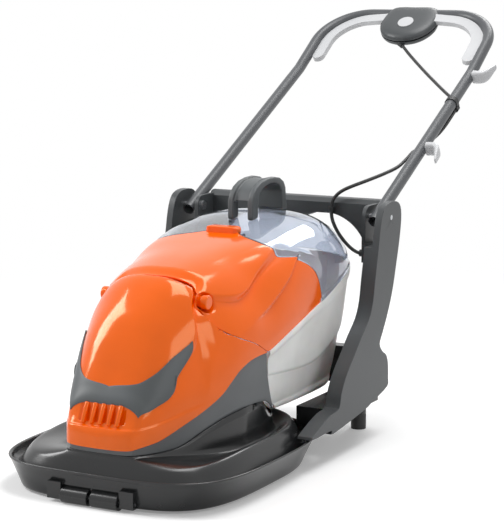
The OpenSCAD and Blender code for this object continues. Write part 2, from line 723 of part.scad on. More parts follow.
module lift_fan() {
  color(mid) from_rollers() translate([0, spindle_back, fan_base]) difference() {
    union() {
      cylinder(r = fan_hub_r, h = fan_hub_l);
      translate([0, 0, fan_hub_l - fan_blade_h - fan_disc_t]) cylinder(r = fan_d / 2, h = fan_disc_t);
      for (k = [0:fan_blades - 1]) rotate([0, 0, 360 / fan_blades * k])
        box(fan_hub_r - overrun, fan_d / 2 - overrun, -fan_blade_t / 2, fan_blade_t / 2,
          fan_hub_l - fan_blade_h - fan_disc_t / 2, fan_hub_l - fan_disc_t / 2);
    }
    translate([0, 0, -overrun]) cylinder(r = spindle_d / 2 + press, h = fan_hub_l + 2 * overrun);
  }
}

module blade_spacer() {
  color(black) from_rollers() translate([0, spindle_back, 0])
    ring_z(spacer_r, spindle_d / 4 + press, blade_z + blade_t, fan_base);
}

module cutting_blade() {
  tip = blade_d / 2 - blade_chord / 2;
  color(metal) from_rollers() translate([0, spindle_back, blade_z]) difference() {
    union() {
      box(-tip, tip, -blade_chord / 2, blade_chord / 2, 0, blade_t);
      both_sides() translate([tip, 0, 0]) cylinder(r = blade_chord / 2, h = blade_t);
    }
    translate([0, 0, -overrun]) cylinder(r = spindle_d / 4 + press, h = blade_t + 2 * overrun);
  }
}

module blade_bolt() {
  color(metal) from_rollers() translate([0, spindle_back, blade_z]) {
    translate([0, 0, -bolt_head_t]) cylinder(r = bolt_head_r, h = bolt_head_t);
    cylinder(r = spindle_d / 4, h = fan_base - blade_z + cutter_bolt_l - overrun);
  }
}

// flanged belt pulley with its bore
module pulley(r, bore) {
  difference() {
    union() {
      cylinder(r = r, h = pulley_t);
      cylinder(r = r + belt_t + pulley_rim / 3, h = pulley_rim);
      translate([0, 0, pulley_t - pulley_rim]) cylinder(r = r + belt_t + pulley_rim / 3, h = pulley_rim);
    }
    translate([0, 0, -overrun]) cylinder(r = bore, h = pulley_t + 2 * overrun);
  }
}

pulley_z = plate_z + housing_flange + pulley_gap;

module driven_pulley() {
  color(black) from_rollers() translate([0, spindle_back, pulley_z]) pulley(driven_r, spindle_d / 2 + press);
}

module motor_pulley() {
  color(black) from_rollers() translate([0, motor_back, pulley_z]) pulley(driver_r, shaft_d / 2 + press);
}

// outline of the belt: an arc on each pulley, joined by the straight runs
function belt_points(off) =
  let (lean = asin((driven_r - driver_r) / (spindle_back - motor_back)), turn = (180 - 2 * lean) / belt_steps)
  concat(
    [for (i = [0:belt_steps + belt_wrap]) let (a = -lean + i * (180 + 2 * lean) / (belt_steps + belt_wrap))
      [(driven_r + off) * cos(a), spindle_back + (driven_r + off) * sin(a)]],
    [for (i = [0:belt_steps]) let (a = 180 + lean + i * turn)
      [(driver_r + off) * cos(a), motor_back + (driver_r + off) * sin(a)]]
  );

module drive_belt() {
  color(black) from_rollers() translate([0, 0, pulley_z + pulley_rim + seat]) difference() {
    linear_extrude(pulley_t - 2 * pulley_rim - 2 * seat) polygon(belt_points(seat + belt_t));
    translate([0, 0, -overrun]) linear_extrude(pulley_t + 2 * overrun) polygon(belt_points(seat));
  }
}

bracket_z = pulley_z + pulley_t + pulley_gap;
can_z = bracket_z + bracket_t;

module motor_bracket() {
  color(metal) from_rollers() translate([0, motor_back, 0]) difference() {
    union() {
      translate([0, 0, bracket_z]) cylinder(r = bracket_r, h = bracket_t);
      for (p = [[post_out, -post_step], [-post_out, -post_step], [0, -post_front]])
        translate([p[0], p[1], plate_z]) cylinder(r = post_r, h = bracket_z - plate_z + bracket_t / 2);
    }
    translate([0, 0, bracket_z - overrun]) cylinder(r = bearing_r + press, h = bracket_t + 2 * overrun);
  }
}

module motor_can() {
  color(metal) from_rollers() translate([0, motor_back, can_z]) {
    ring_z(motor_d / 2, motor_d / 2 - can_wall, 0, can_l);
    ring_z(motor_d / 2 - can_wall, bearing_r + press, can_l - can_wall, can_l);
  }
}

module stator() {
  color(mid) from_rollers() translate([0, motor_back, can_z])
    ring_z(motor_d / 2 - can_wall - press, stator_in, can_wall, can_wall + stator_l);
}

module armature() {
  color(metal) from_rollers() translate([0, motor_back, 0]) {
    translate([0, 0, pulley_z]) cylinder(r = shaft_d / 2, h = can_z + can_l + can_wall - pulley_z);
    translate([0, 0, can_z + 2 * can_wall]) cylinder(r = stator_in - rotor_gap, h = stator_l - 2 * can_wall);
    translate([0, 0, can_z + can_wall + stator_l]) cylinder(r = commutator_r, h = commutator_l);
  }
}

module motor_bearings() {
  color(metal) from_rollers() translate([0, motor_back, 0]) {
    ring_z(bearing_r, shaft_d / 2 + press, bracket_z, bracket_z + bracket_t);
    ring_z(bearing_r, shaft_d / 2 + press, can_z + can_l - can_wall, can_z + can_l);
  }
}

module brush_holders() {
  color(black) from_rollers() translate([0, motor_back, can_z + can_wall + stator_l]) both_sides()
    box(commutator_r + seat, motor_d / 2 - can_wall - overrun, -brush_w / 2, brush_w / 2, overrun, brush_h);
}

module housing_screws() {
  color(metal) from_rollers() translate([0, spindle_back, 0]) for (k = [0:3]) rotate([0, 0, 45 + 90 * k])
    translate([screw_ring_r, 0, plate_z]) {
      cylinder(r = screw_r, h = housing_flange);
      translate([0, 0, housing_flange]) cylinder(r = screw_head_r, h = screw_head_t);
    }
}

module pin_cut(fit) {
  both_sides() translate([0, pin_back, pin_z]) rod_x(pin_d / 2 + fit, pin_in - overrun, pin_out + overrun);
}

module motor_cover() {
  tuck = function(a, y) let (start = back_of(smooth(lip_start_shares, rise_of(a))))
    -lip_drop * ease(start, start + lip_l, y) * ease(lip_rise[0], lip_rise[1], rise_of(a));
  color(orange) from_rollers() difference() {
    skin_sheet(arch_angles, cover_row_shares, function(a) body_front,
      function(a) back_of(smooth(cover_end_shares, rise_of(a))) - lid_gap / 2, tuck, cover_wall);
    pin_cut(press);
    for (k = [0:vent_rows - 1]) translate([(k - (vent_rows - 1) / 2) * vent_pitch, 0, 0])
      box(-vent_w / 2, vent_w / 2, vent_front, vent_back, plate_z + vent_rise, plate_z + vent_rise + vent_h);
  }
}

module bumper() {
  runs = [for (k = [-bumper_steps:bumper_steps]) k / bumper_steps];
  edge = function(tab, k) let (a = abs(k), r = smooth(tab, a, 2) * 90)
    [back_of(smooth(tab, a, 1)), k < 0 ? 180 - r : r];
  spot = function(k, s, off) let (p = mix(edge(bumper_low_shares, k), edge(bumper_high_shares, k), s))
    skin(p[1], p[0], off);
  rows = [for (k = [0:3]) k / 3];
  outer = [for (k = runs) for (s = rows) spot(-k, s, bumper_gap + bumper_t)];
  inner = [for (k = runs) for (s = rows) spot(-k, s, bumper_gap)];
  color(dark) from_rollers() polyhedron(concat(outer, inner), sheet_faces(len(runs), len(rows)));
}

module pivot_pins() {
  color(orange) from_rollers() both_sides() translate([0, pin_back, pin_z]) rod_x(pin_d / 2, pin_in, pin_out);
}

module grass_duct() {
  y0 = floor_front + 2 * collar_wall;
  color(black) from_rollers() difference() {
    box(-inlet_w / 2 - duct_wall, inlet_w / 2 + duct_wall, y0 - duct_wall, y0 + inlet_l + duct_wall,
      plate_z, floor_z - 3 * seat);
    box(-inlet_w / 2, inlet_w / 2, y0, y0 + inlet_l, 0, floor_z + overrun);
  }
}

// ring of the bin at a depth share, inset by its wall
function bin_ring(d, wide, inset) = let (right = [
    for (u = bin_run_shares)
      let (
        top = mix(bin_front, body_end, u),
        low = mix(floor_front, floor_rear, u),
        y = mix(top, low, d ^ mix(bin_front_power, bin_rear_power, u))
      )
      [half_at(top) * wide - inset, y + inset * (1 - 2 * u), mix(waist_at(top) - 3 * seat, floor_z, d)]
  ])
  concat(right, [for (i = [len(right) - 1:-1:0]) [-right[i][0], right[i][1], right[i][2]]]);

module grass_bin() {
  y0 = floor_front + 2 * collar_wall;
  outer = [for (s = bin_shares) bin_ring(s[0], s[1], 0)];
  inner = [for (i = [len(bin_shares) - 1:-1:1]) bin_ring(bin_shares[i][0], bin_shares[i][1], bin_wall)];
  base = [for (p = bin_ring(1, bin_shares[0][1], bin_wall)) [p[0], p[1], floor_z + bin_wall]];
  rings = concat(outer, inner, [base]);
  color(pale) from_rollers() difference() {
    polyhedron([for (r = rings) each r],
      ring_faces(len(rings), 2 * len(bin_run_shares), false));
    box(-inlet_w / 2, inlet_w / 2, y0, y0 + inlet_l, 0, floor_z + 3 * bin_wall);
  }
}

no_lift = function(a, y) 0;
function lid_start(a) = back_of(smooth(lid_start_shares, rise_of(a))) + lid_gap / 2;
function window_start(a) = back_of(smooth(window_start_shares, rise_of(a)));

module lid_front() {
  curl = function(a, y) -lid_curl * (1 - ease(0, lid_curl_l, y - lid_start(a)))
    * ease(curl_rise[0], curl_rise[1], rise_of(a));
  color(orange) from_rollers() difference() {
    skin_sheet(arch_angles, lid_row_shares, function(a) lid_start(a), function(a) window_start(a), curl,
      cover_wall);
    pin_cut(pin_fit);
    box(-latch_w / 2 - 2 * seat, latch_w / 2 + 2 * seat, latch_back - 2 * seat, latch_back + latch_l + 2 * seat,
      top_at(latch_back) - latch_deep, body_h + latch_rise);
  }
}

module lid_window() {
  color(smoke) from_rollers() skin_sheet(arch_angles, window_row_shares,
    function(a) window_start(a) + 2 * seat, function(a) body_end, no_lift, cover_wall);
}

latch_top = top_at(latch_back) + latch_rise;
seat_top = latch_top - latch_deep - latch_travel - 2 * overrun;

module latch() {
  color(orange) from_rollers() box(-latch_w / 2, latch_w / 2, latch_back, latch_back + latch_l,
    latch_top - latch_deep, latch_top);
}

module latch_seat() {
  wide = latch_w / 2 + seat_wall + overrun;
  color(black) from_rollers() {
    box(-wide, wide, latch_back, latch_back + latch_l, seat_top - seat_wall, seat_top);
    both_sides() box(wide - seat_wall, wide, latch_back, latch_back + latch_l, seat_top - seat_wall,
      skin(acos(wide / half_at(latch_back)), latch_back, -cover_wall)[2] - overrun);
  }
}

module latch_spring() {
  color(metal) from_rollers() translate([0, latch_back + latch_l / 2, 0])
    ring_z(spring_r, spring_r - spring_wall, seat_top, latch_top - latch_deep);
}

// the carry handle's arch with its feet on the crown of the lid
grip_share = 0.712;
grip_back = back_of(grip_share);
function grip_points(shares) = [for (s = shares) let (y = grip_back + grip_l * s[0])
  [y, 2 * seat + (s[1] == 0 ? top_at(y) : mix(top_at(grip_back), body_h, s[0]) + grip_h * s[1])]];
// the web between the flanges, set in from the arch's outer edge
web_share = 0.3;
function web_points(outer, inner) = concat(
  [for (i = [1:len(outer) - 1]) mix(outer[i], inner[len(inner) - 1 - min(i, len(inner) - 1)], web_share)],
  [for (i = [0:len(inner) - 2]) inner[i]]
);

module carry_handle() {
  outer = grip_points(grip_outer_shares);
  inner = grip_points(grip_inner_shares);
  color(dark) from_rollers() {
    both_sides() side_slab(concat(outer, inner), grip_w / 2 - flange_t, grip_w / 2);
    side_slab(web_points(outer, inner), -grip_w / 2 + flange_t, grip_w / 2 - flange_t);
  }
}

// point a share t of the way from b to c on the smooth curve through a, b, c and d
function bow(a, b, c, d, t) =
  0.5 * (2 * b + t * (c - a) + t ^ 2 * (2 * a - 5 * b + 4 * c - d) + t ^ 3 * (3 * b - a - 3 * c + d));
// smooth closed outline through a list of points
function rounded(p) = let (n = len(p)) [for (i = [0:n - 1]) for (k = [0:outline_steps - 1])
  bow(p[(i + n - 1) % n], p[i], p[(i + 1) % n], p[(i + 2) % n], k / outline_steps)];
function arm_points() = rounded([for (s = arm_shares) [s[0] * pivot_back, s[1] * pivot_z]]);
slot_low = pivot_z - slot_drop;

module yoke_arm() {
  color(dark) from_rollers() difference() {
    side_slab(arm_points(), arm_in, arm_out);
    box(0, ear_in, 0, 2 * pivot_back, slot_low, 2 * pivot_z);
    translate([0, pivot_back, pivot_z]) rod_x(bolt_d / 2 + press, 0, 2 * arm_out);
  }
}
module yoke_arm_left() {
  yoke_arm();
}
module yoke_arm_right() {
  mirror([1, 0, 0]) yoke_arm();
}

lead_y = body_end + lead_back;
gland_z = pivot_z - gland_drop;
bar_front = lead_y + lead_d / 2 + clip_wall + seat;
bar_low = pivot_z + bar_rise - bar_h;
pillar_low = pivot_z - pillar_drop;

module crossbar() {
  section = [for (s = bar_shares) [bar_front + bar_t * s[0], bar_low + bar_h * s[1]]];
  web_x = pillar_in + overrun - gusset_r;
  rear = bar_front + bar_t / 2;
  color(dark) from_rollers() difference() {
    union() {
      side_slab(section, -pillar_out, pillar_out);
      both_sides() {
        box(web_x, pillar_out, bar_front, rear, pillar_low, bar_low + bar_h / 2);
        box(lug_in, pillar_out, pivot_back, rear, pillar_low, pivot_z + lug_r);
        translate([0, pivot_back, pivot_z]) rod_x(lug_r, lug_in, pillar_out);
        box(lug_in, pillar_out, pivot_back - lug_r, rear, pillar_low, pivot_z);
        box(pillar_out - overrun, arm_in, pivot_back - lug_r, pivot_back + lug_r, pillar_low, slot_low);
      }
      translate([0, lead_y, gland_z]) rod_x(gland_r, pillar_in, pillar_out);
    }
    both_sides() translate([web_x, bar_front - overrun, bar_low - gusset_r + bar_h / 4]) rotate([-90, 0, 0])
      cylinder(r = gusset_r, h = bar_t);
    translate([0, pivot_back, pivot_z]) rod_x(bolt_d / 2 + press, -2 * arm_out, 2 * arm_out);
  }
}

foot_x = arm_in - foot_inset;
foot_back = pivot_back;
frame_beam_back = pivot_back - frame_beam_inset;

module rear_frame() {
  rail_low = ridge_z * hood_shares[4][2] + seat;
  color(black) from_rollers() difference() {
    union() {
      box(-arm_in + seat, arm_in - seat, frame_beam_back, frame_beam_back + frame_beam_t, frame_beam_low,
        frame_beam_top);
      both_sides() {
        box(arm_in - frame_rail_w, arm_in - seat, pivot_back - frame_rail_l, frame_beam_back + frame_beam_t,
          rail_low, frame_rail_top + overrun);
        translate([foot_x, foot_back, foot_h]) cylinder(r = foot_r, h = frame_beam_low - foot_h);
      }
    }
    both_sides() translate([foot_x, foot_back, foot_h - overrun]) cylinder(r = foot_r / 3, h = 2 * foot_r);
  }
}

module rear_feet() {
  color(black) from_rollers() both_sides() translate([foot_x, foot_back, 0]) {
    cylinder(r = foot_r, h = foot_h);
    cylinder(r = foot_r / 3 - press, h = foot_h + foot_r);
  }
}

module pivot_bolts() {
  color(metal) from_rollers() both_sides() translate([0, pivot_back, pivot_z]) {
    rod_x(bolt_d / 2, lug_in, arm_out);
    rod_x(head_r, lug_in - head_t, lug_in);
  }
}

// frames of the folding handle: the pivot, and the middle of its top bar
module at_pivot() {
  translate([0, pivot_back, pivot_z]) rotate([handle_angle, 0, 0]) children();
}
module at_grip() {
  at_pivot() translate([0, leg_l + kink_r * sin(kink_angle), kink_r * (1 - cos(kink_angle))])
    rotate([kink_angle, 0, 0]) children();
}
module at_bar() {
  at_grip() translate([0, grip_straight + bend_r, 0]) children();
}

// the whole tube's path as a solid of radius r, longer by extra at its open ends
module tube_path(r, extra) {
  both_sides() {
    at_pivot() translate([handle_half, -leg_tail - extra, 0]) rotate([-90, 0, 0])
      cylinder(r = r, h = leg_l + leg_tail + extra);
    at_pivot() translate([handle_half, leg_l, kink_r]) rotate([0, 90, 0]) rotate([0, 0, -kink_lap])
      rotate_extrude(angle = kink_angle + 2 * kink_lap) translate([kink_r, 0]) circle(r = r - kink_step);
    at_grip() translate([handle_half, 0, 0]) rotate([-90, 0, 0]) cylinder(r = r, h = grip_straight);
    at_grip() translate([handle_half - bend_r, grip_straight, 0])
      rotate_extrude(angle = 90) translate([bend_r, 0]) circle(r = r);
  }
  at_bar() rod_x(r, -handle_half + bend_r, handle_half - bend_r);
}

module upper_handle() {
  color(dark) from_rollers() difference() {
    tube_path(tube_d / 2, 0);
    tube_path(tube_d / 2 - tube_wall, overrun);
    at_pivot() rod_x(bolt_d / 2 + bolt_fit, -2 * handle_half, 2 * handle_half);
  }
}

function box_points(k) = let (half = [for (s = box_shares) [box_half * s[0] * k,
    box_l * (box_over_share - mix(0.5, s[1], k))]])
  concat(half, [for (i = [len(half) - 2:-1:1]) [-half[i][0], half[i][1]]]);

// the lead's way out of the switch box
module at_exit() {
  translate([lead_u, lead_v, -box_down / 2]) rotate([0, 0, lead_turn]) rotate([90, 0, 0]) children();
}

// the levers' way through the side walls of the switch box
module lever_slots(low, high) {
  both_sides() box(lever_axis_u - lever_hub_r - 2 * lever_clear, 2 * box_half,
    -lever_gap - lever_w - lever_clear, -lever_gap + lever_clear, low, high);
}

module switch_box_upper() {
  front = -lever_gap - lever_w - lever_clear - pin_block;
  color(dark) from_rollers() at_bar() difference() {
    union() {
      difference() {
        linear_extrude(box_up) polygon(box_points(1));
        translate([0, 0, -overrun]) linear_extrude(box_up - shell_wall + overrun)
          polygon(box_points(box_inner_share));
        lever_slots(-overrun, box_up - shell_wall);
      }
      both_sides() box(lever_axis_u - lever_hub_r, lever_axis_u + lever_hub_r / 2, front, front + pin_block,
        lever_axis_w - lever_hub_r, box_up - shell_wall + seat);
    }
    rod_x(tube_d / 2 + bore_gap, -2 * box_half, 2 * box_half);
    translate([0, button_v, 0]) cylinder(r = button_d / 2 + seat, h = 2 * box_up);
    both_sides() translate([lever_axis_u, front, lever_axis_w]) rotate([-90, 0, 0])
      cylinder(r = lever_pin_d / 2 + press, h = 2 * pin_block);
  }
}

module switch_box_lower() {
  color(dark) from_rollers() at_bar() difference() {
    translate([0, 0, -box_down]) linear_extrude(box_down) polygon(box_points(1));
    translate([0, 0, shell_wall - box_down]) linear_extrude(box_down) polygon(box_points(box_inner_share));
    lever_slots(-2 * lever_clear, overrun);
    rod_x(tube_d / 2 + bore_gap, -2 * box_half, 2 * box_half);
    at_exit() cylinder(r = box_gland_r + press, h = 2 * box_gland_l);
  }
}

module lock_button() {
  color(pale) from_rollers() at_bar() translate([0, button_v, 0]) {
    translate([0, 0, box_up - shell_wall - seat])
      cylinder(r = button_d / 2, h = shell_wall + seat + button_rise);
    translate([0, 0, box_up - shell_wall - seat - button_flange_t])
      cylinder(r = button_d / 2 + button_flange, h = button_flange_t);
  }
}

module microswitch() {
  color(black) from_rollers() at_bar() box(-switch_w / 2, switch_w / 2, button_v - switch_l / 2,
    button_v + switch_l / 2, shell_wall - box_down, -switch_top);
}

module button_spring() {
  color(metal) from_rollers() at_bar() translate([0, button_v, 0])
    ring_z(spring_r, spring_r - spring_wall, -switch_top, box_up - shell_wall - seat - button_flange_t);
}

// plan of an operating lever: the strap that follows the tube's corner bend
module lever_plan() {
  cx = handle_half - bend_r;
  r1 = bend_r - lever_gap;
  r0 = r1 - lever_w;
  translate([cx, -bend_r]) difference() {
    circle(r = r1, $fn = hood_steps);
    circle(r = r0, $fn = hood_steps);
    translate([-2 * r1, -2 * r1]) square([2 * r1, 4 * r1]);
    translate([-2 * r1, -2 * r1]) square([4 * r1, 2 * r1]);
  }
  translate([lever_axis_u, -lever_gap - lever_w]) square([cx - lever_axis_u, lever_w]);
  translate([cx + r0, -bend_r - lever_tail]) square([lever_w, lever_tail]);
  translate([cx + (r0 + r1) / 2, -bend_r - lever_tail]) circle(r = lever_w / 2);
}

module lever() {
  color(pale) from_rollers() at_bar() translate([lever_axis_u, 0, lever_axis_w]) rotate([0, lever_drop, 0])
    translate([-lever_axis_u, 0, 0]) difference() {
      union() {
        translate([0, 0, -lever_t / 2]) linear_extrude(lever_t) lever_plan();
        translate([lever_axis_u, -lever_gap - lever_w, 0]) rotate([-90, 0, 0])
          cylinder(r = lever_hub_r, h = lever_w);
      }
      translate([lever_axis_u, -2 * box_l, 0]) rotate([-90, 0, 0])
        cylinder(r = lever_pin_d / 2 + bolt_fit, h = 4 * box_l);
    }
}
module lever_left() {
  lever();
}
module lever_right() {
  mirror([1, 0, 0]) lever();
}

module lever_pins() {
  color(metal) from_rollers() at_bar() both_sides()
    translate([lever_axis_u, -lever_gap - lever_w - lever_clear - pin_block, lever_axis_w]) rotate([-90, 0, 0])
      cylinder(r = lever_pin_d / 2, h = lever_w + lever_clear + pin_block - seat);
}

// cable hook on the outside of the left leg; way is 1 for a finger that points up the handle, -1 for down
module hook(s, way) {
  color(pale) from_rollers() at_pivot() translate([handle_half, s, 0]) difference() {
    union() {
      box(hook_seat_share * tube_d / 2, hook_reach, -hook_l / 2, hook_l / 2, -hook_h / 2, hook_h / 2);
      box(hook_reach - hook_finger, hook_reach, way > 0 ? 0 : -hook_finger_l, way > 0 ? hook_finger_l : 0,
        -hook_h / 3, hook_h / 3);
    }
    translate([0, -hook_l, 0]) rotate([-90, 0, 0]) cylinder(r = tube_d / 2 + bore_gap, h = 2 * hook_l);
  }
}
module hook_upper() {
  hook(hook_upper_s, 1);
}
module hook_lower() {
  hook(hook_lower_s, -1);
}

module lead_tie() {
  off = tube_d / 2 + lead_d / 2 + 2 * seat;
  color(black) from_rollers() at_pivot() translate([handle_half, tie_s, 0]) rotate([-90, 0, 0]) rotate(tie_turn)
    difference() {
      union() {
        cylinder(r = tube_d / 2 + tie_wall, h = tie_l);
        translate([off, 0, 0]) cylinder(r = lead_d / 2 + tie_wall + seat, h = tie_l);
      }
      translate([0, 0, -overrun]) cylinder(r = tube_d / 2 + bore_gap, h = tie_l + 2 * overrun);
      translate([off, 0, -overrun]) cylinder(r = lead_d / 2 + 2 * seat, h = tie_l + 2 * overrun);
    }
}

module crossbar_clip() {
  color(black) from_rollers() translate([clip_x, lead_y, pivot_z + clip_rise - clip_h / 2]) difference() {
    union() {
      cylinder(r = lead_d / 2 + clip_wall, h = clip_h);
      box(-clip_wall, clip_wall, 0, bar_front - lead_y, 0, clip_h);
    }
    translate([0, 0, -overrun]) cylinder(r = lead_d / 2 + seat, h = clip_h + 2 * overrun);
  }
}

module yoke_gland() {
  color(black) from_rollers() translate([0, lead_y, gland_z]) difference() {
    rod_x(gland_r, pillar_in - gland_l, pillar_in);
    rod_x(lead_d / 2 + seat, pillar_in - gland_l - overrun, pillar_in - overrun);
  }
}

module box_gland() {
  color(black) from_rollers() at_bar() at_exit() difference() {
    cylinder(r = box_gland_r, h = box_gland_l);
    translate([0, 0, -overrun]) cylinder(r = lead_d / 2 + seat, h = 2 * box_gland_l);
  }
}

// round tube along a route: parallel frames keep it from twisting
function unit(v) = v / norm(v);
function ways(p) = [for (i = [0:len(p) - 1]) unit(p[min(len(p) - 1, i + 1)] - p[max(0, i - 1)])];
function carried(t, n, i) = i >= len(t) ? [] : let (m = unit(n - (n * t[i]) * t[i]))
  concat([m], carried(t, m, i + 1));
function curved(p) = [
  for (i = [0:len(p) - 2]) for (k = [0:1])
    bow(p[max(0, i - 1)], p[i], p[i + 1], p[min(len(p) - 1, i + 2)], k / 2),
  p[len(p) - 1]
];
module lead(route) {
  p = curved(route);
  t = ways(p);
  n = carried(t, [0.6, 0, 0.8], 0);
  color(black) from_rollers() polyhedron(
    [for (i = [0:len(p) - 1]) for (j = [0:lead_sides - 1])
      let (a = -j * 360 / lead_sides) p[i] + lead_d / 2 * (cos(a) * n[i] + sin(a) * cross(t[i], n[i]))],
    ring_faces(len(p), lead_sides, false));
}
function turned(p, a) = [p[0], p[1] * cos(a) - p[2] * sin(a), p[1] * sin(a) + p[2] * cos(a)];
function on_leg(p) = [0, pivot_back, pivot_z] + turned(p, handle_angle);
function on_bar(p) = on_leg([0, leg_l + kink_r * sin(kink_angle), kink_r * (1 - cos(kink_angle))]
  + turned(p + [0, grip_straight + bend_r, 0], kink_angle));
module lead_upper() {
  lead(concat(
    [for (d = lead_exit_route)
      on_bar([lead_u + d * sin(lead_turn), lead_v - d * cos(lead_turn), -box_down / 2])],
    [for (p = lead_leg_route) on_leg(p + [handle_half, 0, 0])]));
}
module lead_lower() {
  lead([for (p = lead_yoke_route) p + [handle_half, lead_y, pivot_z]]);
}

hood();
roller_carrier();
roller_axle();
roller_left();
roller_right();
lower_body();
base_plate();
spindle_housing();
spindle_bearings();
spindle();
lift_fan();
cutting_blade();
blade_spacer();
blade_bolt();
driven_pulley();
drive_belt();
motor_pulley();
motor_bracket();
motor_can();
stator();
armature();
motor_bearings();
brush_holders();
housing_screws();
motor_cover();
bumper();
pivot_pins();
grass_duct();
grass_bin();
lid_front();
lid_window();
latch();
latch_seat();
latch_spring();
carry_handle();
yoke_arm_left();
yoke_arm_right();
crossbar();
rear_frame();
rear_feet();
pivot_bolts();
upper_handle();
switch_box_upper();
switch_box_lower();
lock_button();
button_spring();
microswitch();
lever_left();
lever_right();
lever_pins();
hook_upper();
hook_lower();
lead_tie();
crossbar_clip();
yoke_gland();
box_gland();
lead_upper();
lead_lower();
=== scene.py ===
"""A hover mower with a grass collector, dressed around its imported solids."""

import math

import bmesh
import bpy
from mathutils import Matrix, Vector


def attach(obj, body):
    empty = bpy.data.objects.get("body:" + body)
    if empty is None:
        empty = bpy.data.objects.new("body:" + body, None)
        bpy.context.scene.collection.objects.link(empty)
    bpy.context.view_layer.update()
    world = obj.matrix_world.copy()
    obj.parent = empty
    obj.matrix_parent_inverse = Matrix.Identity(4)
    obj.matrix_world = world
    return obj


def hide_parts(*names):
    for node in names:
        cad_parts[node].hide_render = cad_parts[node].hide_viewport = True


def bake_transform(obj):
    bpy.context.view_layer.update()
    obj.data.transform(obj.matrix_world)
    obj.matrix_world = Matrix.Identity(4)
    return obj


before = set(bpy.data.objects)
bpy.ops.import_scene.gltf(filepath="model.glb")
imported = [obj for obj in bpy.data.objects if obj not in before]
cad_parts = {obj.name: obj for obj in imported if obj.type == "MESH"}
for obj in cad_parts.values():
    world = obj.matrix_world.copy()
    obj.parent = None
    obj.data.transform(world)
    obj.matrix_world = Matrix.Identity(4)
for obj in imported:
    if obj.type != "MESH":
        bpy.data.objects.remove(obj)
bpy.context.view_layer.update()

bl_info = {
    "name": "Hover Mower",
    "version": (1, 0, 0),
    "blender": (4, 5, 0),
    "location": "View3D > Sidebar > Mower",
    "description": "Builds the moulded shells, the lead and the finishes of a hover mower",
    "category": "Object",
}

MM = 0.001
# From the roller axle to the part's origin, in millimetres.
ORIGIN_BACK = 690.0

# Shares of the body's length against shares of its half width, and of its height at the waist, the top and
# the foot.
WIDTH = (
    (0, 0.0005), (0.0007, 0.165), (0.0014, 0.218), (0.0028, 0.276), (0.0056, 0.338), (0.0098, 0.376),
    (0.014, 0.391), (0.056, 0.5), (0.112, 0.6), (0.183, 0.718), (0.253, 0.818), (0.323, 0.894),
    (0.393, 0.941), (0.463, 0.971), (0.562, 0.994), (0.674, 1), (0.758, 1), (0.843, 0.988),
    (0.899, 0.959), (0.948, 0.882), (0.976, 0.753), (0.992, 0.612), (1, 0.47),
)
WAIST = (
    (0, 0.221), (0.014, 0.228), (0.039, 0.237), (0.076, 0.251), (0.139, 0.292), (0.204, 0.336),
    (0.257, 0.382), (0.291, 0.428), (0.319, 0.464), (0.358, 0.492), (0.393, 0.503), (0.437, 0.51),
    (0.545, 0.566), (0.66, 0.621), (0.751, 0.662), (0.843, 0.708), (0.927, 0.752), (1, 0.789),
)
TOP = (
    (0, 0.262), (0.0014, 0.278), (0.0056, 0.294), (0.014, 0.317), (0.024, 0.345), (0.035, 0.395),
    (0.056, 0.451), (0.084, 0.547), (0.112, 0.634), (0.147, 0.715), (0.197, 0.795), (0.225, 0.83),
    (0.246, 0.846), (0.274, 0.85), (0.303, 0.862), (0.393, 0.892), (0.506, 0.92), (0.618, 0.947),
    (0.702, 0.972), (0.815, 0.995), (0.885, 0.998), (0.941, 0.975), (0.972, 0.929), (0.99, 0.862),
    (1, 0.802),
)
FOOT = (
    (0, 0.202), (0.051, 0.2), (0.131, 0.207), (0.204, 0.253), (0.271, 0.287), (0.358, 0.308),
    (0.428, 0.303), (0.45, 0.28), (0.47, 0.245), (0.5, 0.222), (0.562, 0.216), (1, 0.216),
)
# How square the arch is along the body: 2 is an ellipse.
SQUARE = (
    (0, 7), (0.014, 6), (0.035, 4), (0.056, 3.2), (0.084, 2.7), (0.126, 2.45), (0.253, 2.45),
    (0.393, 2.55), (0.46, 2.8), (0.55, 3.6), (0.64, 4.1), (0.75, 4), (0.83, 3.4), (0.89, 2.6),
    (0.94, 2.1), (1, 2.2),
)
# Edges of the covers: degrees over the waist against millimetres back from the roller axle.
COVER_END = (
    (0, 329.6), (5, 307.6), (16.5, 255.6), (28, 222.1), (30, 218.5), (31.5, 224), (40, 230),
    (60, 232), (90, 234),
)
LID_START = (
    (0, 331), (5, 309), (16.5, 257), (28, 223.5), (36, 207.5), (42, 200.5), (47, 199.5), (51, 203),
    (55, 212), (60, 223), (65, 224), (75, 221), (90, 219),
)
WINDOW_START = (
    (0, 529), (5, 532.5), (23.6, 514.5), (36.5, 476.6), (46, 433), (55, 423), (64, 427), (73, 441),
    (82, 465), (90, 480),
)
# The bumper from its middle to a horn: run along it, millimetres back and degrees over the waist.
BUMPER_LOW = (
    (0, 42.5, 90), (0.25, 42.8, 63), (0.34, 41.5, 45), (0.38, 42, 41), (0.55, 67, 30),
    (0.72, 92, 22.8), (0.77, 106, 23), (0.81, 111, 27), (0.95, 151, 31.3), (1, 155, 35),
)
BUMPER_HIGH = (
    (0, 58.5, 90), (0.3, 66, 58.5), (0.5, 88, 44), (0.75, 122, 38), (0.92, 148, 36), (1, 155, 36),
)
